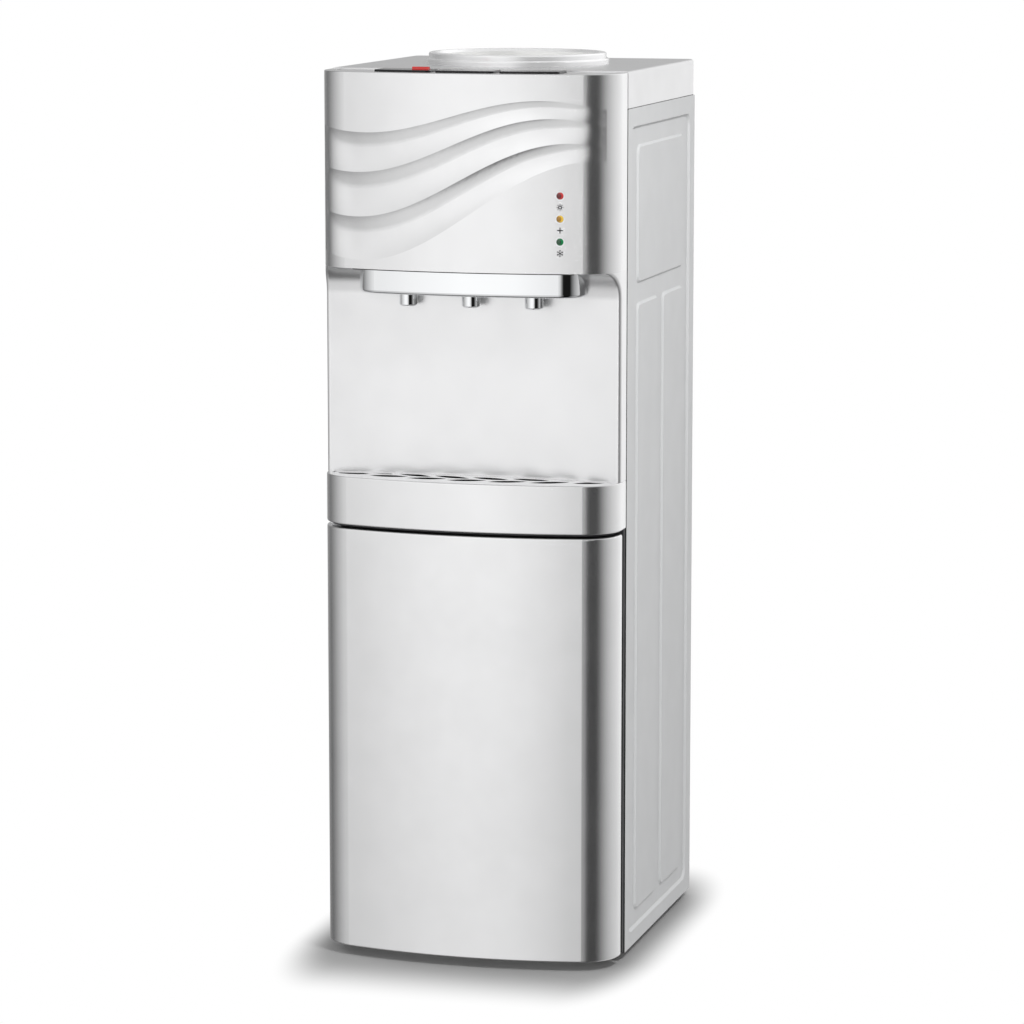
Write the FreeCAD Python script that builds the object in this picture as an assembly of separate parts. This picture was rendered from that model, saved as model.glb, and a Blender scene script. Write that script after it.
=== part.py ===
"""A floor-standing water dispenser for a large upturned bottle, in millimetres.

The frame has +Z up, the front facing -Y and the origin on the floor under the middle of the cabinet.
Pressed steel sides carry a bowed plastic front: a fascia with a wave relief, an open dispensing bay
with three spouts, a drip shelf and a storage door. A condenser hangs in the recessed back.
"""

import FreeCAD
import Part
import math
import os

V = FreeCAD.Vector
X_AXIS = V(1, 0, 0)
Y_AXIS = V(0, 1, 0)
Z_AXIS = V(0, 0, 1)
ORIGIN = V(0, 0, 0)
FULL_TURN = 360
DIAGONAL_SHARE = 1 - math.sqrt(0.5)

# Overall sizes
WIDTH = 320.0
DEPTH = 370.0
FRONT_DEPTH = 74.0
BOW_R = 553.0
CORNER_R = 42.0
OVERRUN = 5.0
FIT = 0.3
HALF = WIDTH / 2
FRONT_Y = -DEPTH / 2
BACK_Y = DEPTH / 2
SEAM_Y = FRONT_Y + FRONT_DEPTH
BOW_Y = FRONT_Y + BOW_R

# Heights of the front, from the floor up
FOOT_HEIGHT = 8.0
DOOR_LIFT = 2.0
DOOR_HEIGHT = 450.0
DOOR_GAP = 4.0
APRON_HEIGHT = 51.0
BAY_HEIGHT = 219.0
FASCIA_HEIGHT = 203.0
CAP_STEP = 1.0
CAP_SKIRT = 39.0
DOOR_BOTTOM = FOOT_HEIGHT + DOOR_LIFT
DOOR_TOP = DOOR_BOTTOM + DOOR_HEIGHT
APRON_BOTTOM = DOOR_TOP + DOOR_GAP
DECK_Z = APRON_BOTTOM + APRON_HEIGHT
BAY_TOP = DECK_Z + BAY_HEIGHT
FASCIA_TOP = BAY_TOP + FASCIA_HEIGHT
CAP_TOP = FASCIA_TOP + CAP_STEP
PANEL_TOP = CAP_TOP - CAP_SKIRT

# Pressed steel side panels
SHEET = 1.0
PRESS_DEPTH = 2.5
PRESS_SLOPE = 2.5
PRESS_CORNER_R = 12.0
FLANGE = 15.0
PRESS_MARGIN_FRONT = 15.0
PRESS_MARGIN_BACK = 21.0
PRESS_MARGIN_TOP = 19.0
PRESS_MARGIN_BOTTOM = 16.0
PAD_MARGIN_FRONT = 31.0
PAD_MARGIN_BACK = 25.0
PAD_MARGIN_TOP = 20.0
PAD_MARGIN_BOTTOM = 18.0
PAD_GAP = 20.0
UPPER_PAD_HEIGHT = 145.0
PAD_DROP = 0.4
PAD_CORNER_R = 9.0
PANEL_FRONT = SEAM_Y
SIDE_INNER = HALF - SHEET - PRESS_DEPTH

# Base pan and feet
PAN_PLATE = 2.0
PAN_LIP = 10.0
FOOT_R = 15.0
FOOT_INSET_X = 28.0
FOOT_INSET_Y = 30.0
FOOT_TAPER = 2.0
PAN_BOTTOM = FOOT_HEIGHT
PAN_TOP = PAN_BOTTOM + PAN_PLATE
PAN_HALF = HALF - SHEET

# Shelves inside the cabinet
SHELF_PLATE = 2.0
SHELF_LIP = 12.0
SHELF_BACK_GAP = 30.0
TANK_SHELF_DROP = 44.0
TUBE_DUCT = 26.0
MID_SHELF_Z = APRON_BOTTOM + SHELF_LIP + OVERRUN
TANK_SHELF_Z = BAY_TOP - TANK_SHELF_DROP

# Rear panel with its vent slots
REAR_SHEET = 1.2
REAR_RECESS = 35.0
REAR_BOTTOM = 230.0
VENT_LENGTH = 60.0
VENT_HEIGHT = 5.0
VENT_ROWS = 6
VENT_FROM_SIDE = 90.0
VENT_ABOVE_SHELF = 110.0
VENT_TOP_MARGIN = 21.0
REAR_Y = BACK_Y - REAR_RECESS
REAR_OUT_Y = REAR_Y + REAR_SHEET
SHELF_BACK = REAR_Y - SHELF_BACK_GAP
INNER_DEPTH = REAR_Y - SEAM_Y
VENT_X = HALF - VENT_FROM_SIDE
VENT_Z = TANK_SHELF_Z + VENT_ABOVE_SHELF
VENT_PITCH = (PANEL_TOP - VENT_TOP_MARGIN - VENT_Z) / VENT_ROWS

# Upper fascia with the wave relief
FASCIA_WALL = 10.0
FASCIA_FRONT_WALL = 12.0
FASCIA_EDGE_R = 1.2
WAVE_MID_SHARES = (0.781, 0.6355, 0.4606, 0.3054)
WAVE_SWING_SHARES = (0.0862, 0.1429, 0.1946, 0.2611)
WAVE_TROUGH_SHARES = (-0.656, -0.719, -0.719, -0.6875)
WAVE_CREST_SHARES = (0.531, 0.606, 0.719, 0.875)
WAVE_DEPTH_SHARE = 0.10
WAVE_DEEPEST_SHARE = 0.38
WAVE_RIDGE_SINK = 0.3
WAVE_LEAST_DEPTH = 0.1
WAVE_OUTSIDE = 6.0
WAVE_STATIONS = 25
WAVE_FADE_SHARE = 0.21
WAVE_RISE_SHARE = 0.13
WAVE_START_SHARE = 0.095
WAVE_END_SHARE = 0.88
SEAM_GROOVE = 3.0
SEAM_GROOVE_DEPTH = 1.5

# Dispensing bay
BAY_WALL_SIDE = 25.0
BAY_WALL_MIDDLE = 12.0
BAY_SKIN = 3.0
BAY_EDGE_R = 4.0
COVE_R = 30.0
CEILING = 3.0
BAY_SAG = BAY_WALL_SIDE - BAY_WALL_MIDDLE
BAY_R = (HALF ** 2 + BAY_SAG ** 2) / (2 * BAY_SAG)
BAY_Y = SEAM_Y - BAY_WALL_MIDDLE - BAY_R

# Drip shelf, its tray and the grille
APRON_WALL = 3.0
APRON_EDGE_R = 1.5
TRAY_RIM = 7.0
TRAY_DEPTH = 32.0
TRAY_WALL = 2.0
TRAY_PLAY = 0.5
GRILLE_PLATE = 4.0
GRILLE_SINK = 0.5
GRILLE_RIM = 5.0
LEAF_LENGTH = 42.0
LEAF_WIDTH = 13.0
LEAF_PITCH = 46.0
LEAF_COUNT = 6
LEAF_ROW_STEP = 17.0
LEAF_ROWS = 2
LEAF_TURN = 12.0
LEAF_INSET = 28.0
TRAY_FLOOR = DECK_Z - TRAY_DEPTH

# Tap bar, spouts and valves
BAR_FROM_SIDE = 38.0
BAR_INSET = 16.0
BAR_HEIGHT = 27.0
BAR_CORNER_R = 28.0
BAR_EDGE_R = 3.5
BAR_WALL = 2.5
BAR_SLOT = 2.2
BAR_SLOT_DEPTH = 7.0
TAP_PITCH = 68.0
TAP_FROM_SEAM = 29.0
SPOUT_R = 9.5
SPOUT_BORE = 5.0
SPOUT_DROP = 13.0
SPOUT_CHAMFER = 1.2
SPOUT_NECK_R = 6.5
VALVE_R = 10.0
VALVE_RISE = 24.0
VALVE_BORE_DEPTH = 30.0
SPIGOT_R = 4.5
SPIGOT_LENGTH = 20.0
BAR_HALF = HALF - BAR_FROM_SIDE
BAR_BOTTOM = BAY_TOP - BAR_HEIGHT
BAR_FLOOR = BAR_BOTTOM + BAR_WALL
TAP_Y = SEAM_Y - TAP_FROM_SEAM
TAP_X = (-TAP_PITCH, 0.0, TAP_PITCH)
KEY_NAMES = ("hot", "warm", "cold")
VALVE_TOP = BAY_TOP + CEILING + VALVE_RISE
SPIGOT_Z = BAY_TOP + CEILING + VALVE_RISE / 2

# Press keys on the top, their rods and springs
KEY_GAP = 6.0
KEY_FRONT_INSET = 17.0
KEY_DEPTH = 36.0
KEY_CORNER_R = 5.0
KEY_RISE = 2.5
KEY_SKIRT = 3.5
KEY_FLANGE = 1.5
KEY_FLANGE_HEIGHT = 4.0
KEY_PLAY = 0.6
KEY_STOP_GAP = 0.4
KEY_EDGE_R = 1.2
ROD_R = 4.0
ROD_PLAY = 0.25
ROD_REST_GAP = 12.0
CARRIER_PLATE = 3.0
SPRING_SPACE = 20.0
SPRING_R = 6.5
SPRING_WIRE_R = 0.7
SPRING_TURNS = 5
KEY_WIDTH = TAP_PITCH - KEY_GAP

# Child lock on the hot key
LOCK_WIDTH = 18.0
LOCK_LENGTH = 14.0
LOCK_PLATE = 2.0
LOCK_TRAVEL = 6.0
LOCK_EDGE_GAP = 4.0
LOCK_RIDGE = 3.0
LOCK_RIDGE_DEPTH = 5.0
LOCK_PLAY = 0.3

# Top cap and the bottle seat
CAP_WALL = 3.5
CAP_EDGE_R = 3.0
CAP_CORNER_R = 8.0
TONGUE_PLATE = 3.5
TONGUE_SINK = 0.5
SEAT_R = 98.0
SEAT_LEDGE = 9.0
SEAT_LIP = 4.0
SEAT_RISE = 12.0
SEAT_TIER = 6.0
SEAT_STEP = 3.0
SEAT_ROUND = 2.0
SEAT_BEVEL = 3.0
SEAT_WALL = 3.0
FUNNEL_DROP = 40.0
NECK_R = 33.0
NECK_LENGTH = 44.0
PROBE_R = 9.0
PROBE_BORE = 5.0
PROBE_TIP_R = 4.0
PROBE_TIP = 16.0
PROBE_DISC = 3.0
PROBE_TOP_DROP = 14.0
PROBE_PORT_R = 5.0
PROBE_PORT_COUNT = 6
FOAM_BACK_GAP = 3.4
FOAM_DEPTH_SHARE = 0.416
FOAM_R = INNER_DEPTH * FOAM_DEPTH_SHARE
SEAT_Y = REAR_Y - FOAM_R - FOAM_BACK_GAP
SEAT_HOLE_R = SEAT_R - SEAT_LEDGE
SEAT_INNER_R = SEAT_HOLE_R - SEAT_LIP
RING_TOP = CAP_TOP + SEAT_RISE
NECK_BOTTOM = CAP_TOP - FUNNEL_DROP - NECK_LENGTH
TONGUE_TOP = FASCIA_TOP - TONGUE_SINK
TONGUE_BOTTOM = TONGUE_TOP - TONGUE_PLATE
KEY_BOTTOM = TONGUE_BOTTOM - KEY_STOP_GAP - KEY_FLANGE_HEIGHT - KEY_SKIRT
KEY_TOP = TONGUE_TOP + KEY_RISE
CARRIER_TOP = KEY_BOTTOM - SPRING_SPACE

# Indicator lamps
LAMP_FROM_SIDE = 55.0
LAMP_SHARES = (0.394, 0.278, 0.1626)
LAMP_X = HALF - LAMP_FROM_SIDE
LAMP_Z = tuple(BAY_TOP + FASCIA_HEIGHT * share for share in LAMP_SHARES)
LAMP_NAMES = ("red", "amber", "green")
LENS_R = 3.6
LENS_DOME = 1.0
BEZEL_R = 5.0
BEZEL_RISE = 0.8
BEZEL_SEAT = 1.2
BOARD_WIDTH = 20.0
BOARD_MARGIN = 12.0
BOARD_PLATE = 1.6

# Storage door, its frame, seal, hinges and catch
DOOR_BACK_GAP = 18.0
DOOR_SKIN = 3.0
DOOR_EDGE_R = 2.0
DOOR_PANEL = 2.5
DOOR_PANEL_PRESS = 6.0
DOOR_PANEL_MARGIN = 34.0
FRAME_DEPTH = 8.0
FRAME_INSET = 5.0
FRAME_WIDTH = 15.0
FRAME_LIP = 4.0
VISOR_INSET = 5.0
VISOR_PLATE = 2.0
SEAL_MARGIN = 1.5
SEAL_WIDTH = 6.0
SEAL_GAP = 0.3
HINGE_INSET_X = 12.0
HINGE_FROM_BACK = 8.0
PIN_R = 3.0
PIN_PLAY = 0.06
PIN_LENGTH = 12.0
BOSS_R = 7.0
BRACKET_PLATE = 1.6
BRACKET_WIDTH = 12.0
BRACKET_GAP = 0.2
CATCH_HEIGHT = 40.0
STRIKE_PLATE = 1.5
CATCH_GAP = 0.3
DOOR_BACK = SEAM_Y - DOOR_BACK_GAP
FRAME_Y = SEAM_Y - FRAME_DEPTH
HINGE_X = -HALF + HINGE_INSET_X
HINGE_Y = DOOR_BACK - HINGE_FROM_BACK
FRAME_HALF = HALF - FRAME_INSET
FRAME_BOTTOM = PAN_TOP + FIT
FRAME_TOP = APRON_BOTTOM
SEAL_INNER_X = FRAME_HALF - FRAME_WIDTH + SEAL_MARGIN
SEAL_INNER_BOTTOM = FRAME_BOTTOM + FRAME_WIDTH - SEAL_MARGIN
SEAL_INNER_TOP = FRAME_TOP - FRAME_WIDTH + SEAL_MARGIN

# Storage liner behind the door
LINER_WALL = 2.0
LINER_GAP = 11.0
LINER_CORNER_R = 14.0
LINER_HALF = FRAME_HALF - FRAME_WIDTH + LINER_WALL
LINER_BOTTOM = FRAME_BOTTOM + FRAME_WIDTH - LINER_WALL
LINER_TOP = FRAME_TOP - FRAME_WIDTH + LINER_WALL

# Cold tank, its coil and insulation
TANK_WALL = 1.2
TANK_EDGE_R = 4.0
NECK_INTO_TANK = 12.0
FOAM_WALL = 24.0
FOAM_BASE = 10.0
COIL_TUBE_R = 3.0
COIL_GAP = 0.3
COIL_PITCH = 9.0
COIL_TURNS = 7
COIL_LIFT = 30.0
FOAM_BOTTOM = TANK_SHELF_Z + SHELF_PLATE
TANK_BOTTOM = FOAM_BOTTOM + FOAM_BASE
TANK_TOP = NECK_BOTTOM + NECK_INTO_TANK
FOAM_BORE = FOAM_R - FOAM_WALL
COIL_R = FOAM_BORE - COIL_TUBE_R - COIL_GAP
TANK_R = COIL_R - COIL_TUBE_R - COIL_GAP

# Hot tank and its heater
HOT_R = 52.0
HOT_HEADROOM = 50.0
HOT_X = -36.0
HOT_FROM_SEAT = 2.0
HOT_EDGE_R = 10.0
HOT_WALL = 1.5
STAND_HEIGHT = 14.0
STAND_R = 44.0
STAND_WALL = 3.0
BAND_WALL = 3.0
BAND_HEIGHT = 45.0
BAND_LIFT = 30.0
THERMOSTAT_R = 9.0
THERMOSTAT_HEIGHT = 8.0
THERMOSTAT_SPREAD = 18.0
THERMOSTAT_SHIFT = 14.0
STAND_Z = MID_SHELF_Z + SHELF_PLATE
HOT_BOTTOM = STAND_Z + STAND_HEIGHT
HOT_TOP = TANK_SHELF_Z - SHELF_LIP - HOT_HEADROOM
HOT_Y = SEAT_Y + HOT_FROM_SEAT

# Water tubes from the tanks to the taps
WATER_TUBE_R = 4.5
WATER_BEND = 12.0
TUBE_RUN_Y = SEAM_Y + TUBE_DUCT / 2
HOT_TUBE_RISE = 16.0
COLD_TUBE_DROP = 16.0
TUBE_HOLE_PLAY = 0.5

# Compressor and its mounting
COMP_R = 54.0
COMP_HEIGHT = 118.0
COMP_DOME = 26.0
COMP_SEAM = 3.0
COMP_SEAM_HEIGHT = 5.0
COMP_FROM_BACK = 63.0
COMP_FOOT_PLATE = 2.5
COMP_FOOT_HALF = 70.0
COMP_FOOT_WIDTH = 22.0
COMP_FOOT_REACH = 38.0
GROMMET_R = 9.0
GROMMET_HEIGHT = 14.0
TERMINAL_WIDTH = 40.0
TERMINAL_DEPTH = 16.0
TERMINAL_HEIGHT = 42.0
COMP_BOTTOM = PAN_TOP + GROMMET_HEIGHT
COMP_SHELL_BOTTOM = COMP_BOTTOM + COMP_FOOT_PLATE
COMP_SHELL_TOP = COMP_SHELL_BOTTOM + COMP_HEIGHT
COMP_Y = BACK_Y - COMP_FROM_BACK
LINER_BACK = COMP_Y - COMP_R - COMP_SEAM - LINER_GAP

# Condenser on the back, drier and refrigerant lines
COND_TUBE_R = 2.4
COND_FROM_SIDE = 46.0
COND_PITCH = 38.0
COND_RUNS = 11
COND_LIFT = 70.0
COND_STANDOFF = 14.0
WIRE_R = 0.8
WIRE_COUNT = 17
WIRE_MARGIN = 10.0
WIRE_OVERHANG = 12.0
STANDOFF_WIRE_STEPS = 6.5
STANDOFF_WIDTH = 8.0
STANDOFF_HEIGHT = 14.0
DRIER_R = 8.0
DRIER_LENGTH = 66.0
DRIER_NECK = 10.0
DRIER_LEAD = 6.0
LINE_R = 2.4
LINE_BEND = 16.0
LINE_RISE = 24.0
LINE_SPREAD = 20.0
SUCTION_FROM_SIDE = 20.0
COND_HALF = HALF - COND_FROM_SIDE
COND_BOTTOM = REAR_BOTTOM + COND_LIFT
COND_Y = REAR_OUT_Y + COND_STANDOFF
COND_TOP = COND_BOTTOM + COND_PITCH * (COND_RUNS - 1)
COND_BEND = COND_PITCH / 2
WIRE_PITCH = 2 * (COND_HALF - WIRE_MARGIN) / (WIRE_COUNT - 1)
STANDOFF_X = WIRE_PITCH * STANDOFF_WIRE_STEPS
LINE_X = COND_HALF + COND_BEND + LINE_BEND
DRIER_X = -COND_HALF - LINE_BEND
SUCTION_X = -HALF + SUCTION_FROM_SIDE
SUCTION_Y = SHELF_BACK + SHELF_BACK_GAP / 2

# Rear switches, drain and cord gland
SWITCH_FROM_SIDE = 38.0
SWITCH_PITCH = 30.0
SWITCH_ABOVE_SHELF = 80.0
SWITCH_WIDTH = 14.0
SWITCH_HEIGHT = 22.0
SWITCH_DEPTH = 18.0
SWITCH_FRAME = 3.0
SWITCH_FRAME_PLATE = 2.0
ROCKER_R = 13.0
ROCKER_RISE = 3.0
ROCKER_PLAY = 0.4
ROCKER_END_PLAY = 1.6
ROCKER_BELOW = 2.0
ROCKER_PIN = 0.9
ROCKER_PIVOT_R = 1.5
ROCKER_PIVOT_PLAY = 0.05
ROCKER_TILT = 8.0
DRAIN_X = 70.0
DRAIN_Z = 258.0
DRAIN_R = 9.0
DRAIN_LENGTH = 12.0
DRAIN_FLANGE_R = 15.0
DRAIN_FLANGE = 2.5
DRAIN_CAP_R = 14.0
DRAIN_CAP_LENGTH = 14.0
DRAIN_CAP_WALL = 3.0
DRAIN_CAP_RIBS = 16
DRAIN_RIB_R = 1.4
DRAIN_PLAY = 0.3
GLAND_X = -70.0
GLAND_Z = 258.0
GLAND_R = 7.0
GLAND_LENGTH = 16.0
GLAND_TAPER = 2.0
GLAND_FLANGE_R = 11.0
GLAND_FLANGE = 3.0
GLAND_BORE = 3.6
SWITCH_X = (-HALF + SWITCH_FROM_SIDE, -HALF + SWITCH_FROM_SIDE + SWITCH_PITCH)
SWITCH_Z = TANK_SHELF_Z + SWITCH_ABOVE_SHELF


def box(x0, x1, y0, y1, z0, z1):
    """A block between two corners."""
    return Part.makeBox(x1 - x0, y1 - y0, z1 - z0, V(x0, y0, z0))


def rod(radius, x, y, z0, z1):
    """A round bar that stands upright."""
    return Part.makeCylinder(radius, z1 - z0, V(x, y, z0))


def rod_back(radius, x, y0, y1, z):
    """A round bar that runs from front to back."""
    return Part.makeCylinder(radius, y1 - y0, V(x, y0, z), Y_AXIS)


def arc(start, middle, end):
    return Part.Arc(start, middle, end).toShape()


def line(start, end):
    return Part.LineSegment(start, end).toShape()


def raised(face, z0, z1):
    """A flat face drawn at z = 0, made solid between two heights."""
    lifted = face.translated(V(0, 0, z0))
    return lifted.extrude(V(0, 0, z1 - z0))


def fused(shapes):
    """Several shapes as one solid."""
    first, *rest = shapes
    return first.fuse(rest).removeSplitter() if rest else first


def group(shapes):
    """Several separate solids as one node."""
    return Part.makeCompound(shapes)


def rounded(u0, u1, v0, v1, radius, at):
    """A closed wire: a rectangle with round corners. The function at places (u, v) in space."""
    diagonal = radius * DIAGONAL_SHARE
    corners = []
    for u, v, su, sv in ((u1, v0, -1, 1), (u1, v1, -1, -1), (u0, v1, 1, -1), (u0, v0, 1, 1)):
        on_u = at(u + su * radius, v)
        on_v = at(u, v + sv * radius)
        middle = at(u + su * diagonal, v + sv * diagonal)
        ends = (on_u, on_v) if su * sv < 0 else (on_v, on_u)
        corners.append((ends[0], middle, ends[1]))
    edges = []
    for here, after in zip(corners, corners[1:] + corners[:1]):
        edges.append(arc(*here))
        edges.append(line(here[2], after[0]))
    return Part.Wire(edges)


def flat(u, v):
    return V(u, v, 0)


def plate(x0, x1, y0, y1, z0, z1, radius):
    """A flat plate with round corners."""
    return raised(Part.Face(rounded(x0, x1, y0, y1, radius, flat)), z0, z1)


def corner_centre():
    """Where the round corner of the bowed front has its centre, on the right."""
    x = HALF - CORNER_R
    y = BOW_Y - math.sqrt((BOW_R - CORNER_R) ** 2 - x ** 2)
    return x, y


def front_face(inset):
    """The plan of the bowed front from the seam forward, drawn inset from its outline."""
    x, y = corner_centre()
    radius = CORNER_R - inset
    half = HALF - inset
    reach = BOW_R - CORNER_R
    turn = math.atan2(x, BOW_Y - y)
    split = (turn + math.pi / 2) / 2
    meet = V(x + radius * x / reach, y + radius * (y - BOW_Y) / reach, 0)
    middle = V(x + radius * math.sin(split), y - radius * math.cos(split), 0)

    def mirror(p):
        return V(-p.x, p.y, p.z)

    side = V(half, y, 0)
    back = V(half, SEAM_Y, 0)
    edges = [
        line(mirror(back), back),
        line(back, side),
        arc(side, middle, meet),
        arc(meet, V(0, FRONT_Y + inset, 0), mirror(meet)),
        arc(mirror(meet), mirror(middle), mirror(side)),
        line(mirror(side), mirror(back)),
    ]
    return Part.Face(Part.Wire(edges))


def behind_bow(inset, z0, z1):
    """Everything behind the bow of the front, drawn inset from its outline."""
    return Part.makeCylinder(BOW_R - inset, z1 - z0, V(0, BOW_Y, z0))


def bow_point(x, inset):
    """The place on the bow at x, inset along its normal, and the turn of that normal in degrees."""
    turn = math.asin(x / BOW_R)
    reach = BOW_R - inset
    return V(reach * math.sin(turn), BOW_Y - reach * math.cos(turn), 0), math.degrees(turn)


def on_bow(shape, x, z):
    """Moves a shape modelled about the -Y normal at the origin onto the bow at x and z."""
    place, turn = bow_point(x, 0)
    turned = shape.copy()
    turned.rotate(ORIGIN, Z_AXIS, turn)
    turned.translate(V(place.x, place.y, z))
    return turned


def bay_void(gap):
    """The open dispensing bay: in front of its hollow back wall, with a coved top."""
    drum = Part.makeCylinder(BAY_R - gap, BAY_TOP - gap - DECK_Z + OVERRUN, V(0, BAY_Y, DECK_Z - OVERRUN))
    rims = [e for e in drum.Edges if abs(e.BoundBox.ZMin - (BAY_TOP - gap)) < FIT and len(e.Vertexes) == 1]
    return drum.makeFillet(COVE_R, rims)


def bay_floor(inset, gap, z0, z1):
    """The plan of the bay's floor between the front outline and the hollow wall, made solid."""
    drum = Part.makeCylinder(BAY_R - gap, z1 - z0, V(0, BAY_Y, z0))
    return raised(front_face(inset), z0, z1).common(drum)


def edges_at_z(shape, z):
    """The edges that lie flat at one height."""
    return [e for e in shape.Edges if abs(e.BoundBox.ZMin - z) < FIT and abs(e.BoundBox.ZMax - z) < FIT]


def front_edges(shape, z, back_y):
    """The edges of the front outline at one height, without the one along the back."""
    return [e for e in edges_at_z(shape, z) if e.BoundBox.YMin < back_y - FIT]


def pipe(points, radius, bend):
    """A round tube along straight runs that are joined by tangent arcs."""
    edges = []
    start = points[0]
    for before, here, after in zip(points, points[1:], points[2:]):
        into = (here - before).normalize()
        out = (after - here).normalize()
        angle = into.getAngle(out)
        cut = bend * math.tan(angle / 2)
        first = here - into * cut
        last = here + out * cut
        inward = (out - into).normalize()
        middle = here + inward * (bend / math.cos(angle / 2) - bend)
        edges.append(line(start, first))
        edges.append(arc(first, middle, last))
        start = last
    edges.append(line(start, points[-1]))
    path = Part.Wire(edges)
    ring = Part.Wire([Part.Circle(points[0], (points[1] - points[0]).normalize(), radius).toShape()])
    return path.makePipeShell([ring], True, False)


def least_gap(path, wire_r, turns):
    """The least clear gap between a wound tube and itself, measured on points along its middle line."""
    points_per_turn = 24
    points = path.discretize(Number=points_per_turn * turns + 1)
    apart = points_per_turn // 2
    spans = [a.distanceToPoint(b) for i, a in enumerate(points) for b in points[i + apart:]]
    return min(spans) - 2 * wire_r


def coil(x, y, z0, radius, pitch, turns, wire_r):
    """A helix of round wire about an upright axis, in arcs of a quarter turn."""
    quarters = 4 * turns

    def at(quarter):
        angle = quarter * math.pi / 2
        return V(x + radius * math.cos(angle), y + radius * math.sin(angle), z0 + pitch * quarter / 4)

    edges = [arc(at(q), at((2 * q + 1) / 2), at(q + 1)) for q in range(quarters)]
    path = Part.Wire(edges)
    first = path.Edges[0]
    ring = Part.Wire([Part.Circle(at(0), first.tangentAt(first.FirstParameter), wire_r).toShape()])
    print("coil of", turns, "turns, least gap to itself", round(least_gap(path, wire_r, turns), 2), "mm")
    return path.makePipeShell([ring], True, False)


def pressed(x_out, x_in, y0, y1, z0, z1, radius):
    """A sloped block for pressing a rectangle into a side panel, wide at x_out and narrow at x_in."""
    wide = rounded(y0, y1, z0, z1, radius, lambda u, v: V(x_out, u, v))
    narrow = rounded(
        y0 + PRESS_SLOPE, y1 - PRESS_SLOPE, z0 + PRESS_SLOPE, z1 - PRESS_SLOPE,
        radius - PRESS_SLOPE / 2, lambda u, v: V(x_in, u, v))
    return Part.makeLoft([wide, narrow], True, True)


def side_panel():
    """The right-hand side: one pressed sheet with a sunk field, three raised pads and folded edges."""
    block = box(HALF - FLANGE, HALF, PANEL_FRONT, BACK_Y, PAN_BOTTOM, PANEL_TOP)
    y0 = PANEL_FRONT + PRESS_MARGIN_FRONT
    y1 = BACK_Y - PRESS_MARGIN_BACK
    z0 = PAN_BOTTOM + PRESS_MARGIN_BOTTOM
    z1 = PANEL_TOP - PRESS_MARGIN_TOP
    floor_x = HALF - PRESS_DEPTH
    field = pressed(HALF, floor_x, y0, y1, z0, z1, PRESS_CORNER_R)
    block = block.cut(field)
    pad_y0 = y0 + PAD_MARGIN_FRONT
    pad_y1 = y1 - PAD_MARGIN_BACK
    pad_z0 = z0 + PAD_MARGIN_BOTTOM
    pad_z1 = z1 - PAD_MARGIN_TOP
    split_z = pad_z1 - UPPER_PAD_HEIGHT
    split_y = (pad_y0 + pad_y1) / 2
    fields = [
        (pad_y0, pad_y1, split_z, pad_z1),
        (pad_y0, split_y - PAD_GAP / 2, pad_z0, split_z - PAD_GAP),
        (split_y + PAD_GAP / 2, pad_y1, pad_z0, split_z - PAD_GAP),
    ]
    for u0, u1, v0, v1 in fields:
        block = block.fuse(pressed(floor_x, HALF - PAD_DROP, u0, u1, v0, v1, PAD_CORNER_R))
    sheet = block.cut(block.translated(V(-SHEET, 0, 0)))
    front_fold = box(HALF - FLANGE, HALF - SHEET, PANEL_FRONT, PANEL_FRONT + SHEET, PAN_BOTTOM, PANEL_TOP)
    back_fold = box(HALF - FLANGE, HALF - SHEET, BACK_Y - SHEET, BACK_Y, PAN_BOTTOM, PANEL_TOP)
    return fused([sheet, front_fold, back_fold])


def base_pan():
    """The floor of the cabinet with turned-up edges."""
    plate_ = box(-PAN_HALF, PAN_HALF, SEAM_Y + SHEET, BACK_Y - SHEET, PAN_BOTTOM, PAN_TOP)
    lips = [
        box(PAN_HALF - PAN_PLATE, PAN_HALF, SEAM_Y + SHEET, BACK_Y - SHEET, PAN_TOP, PAN_BOTTOM + PAN_LIP),
        box(-PAN_HALF, -PAN_HALF + PAN_PLATE, SEAM_Y + SHEET, BACK_Y - SHEET, PAN_TOP, PAN_BOTTOM + PAN_LIP),
    ]
    return fused([plate_, *lips])


def feet():
    """Four round rubber feet under the pan."""
    made = []
    for sx in (-1, 1):
        for y in (SEAM_Y + FOOT_INSET_Y, BACK_Y - FOOT_INSET_Y):
            place = V(sx * (HALF - FOOT_INSET_X), y, 0)
            made.append(Part.makeCone(FOOT_R - FOOT_TAPER, FOOT_R, FOOT_HEIGHT, place))
    return group(made)


def shelf(z, front_y, holes):
    """A pressed shelf across the cabinet with a turned-down front edge and round holes."""
    half = SIDE_INNER - FIT
    made = fused([
        box(-half, half, front_y, SHELF_BACK, z, z + SHELF_PLATE),
        box(-half, half, front_y, front_y + SHELF_PLATE, z - SHELF_LIP, z),
    ])
    for x, y, radius in holes:
        made = made.cut(rod(radius, x, y, z - OVERRUN, z + SHELF_PLATE + OVERRUN))
    return made


def cold_outlets():
    """Where the cold and the room-temperature tubes leave the cold tank."""
    return [(TAP_X[1], SEAT_Y), (TAP_X[2], SEAT_Y)]


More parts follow.
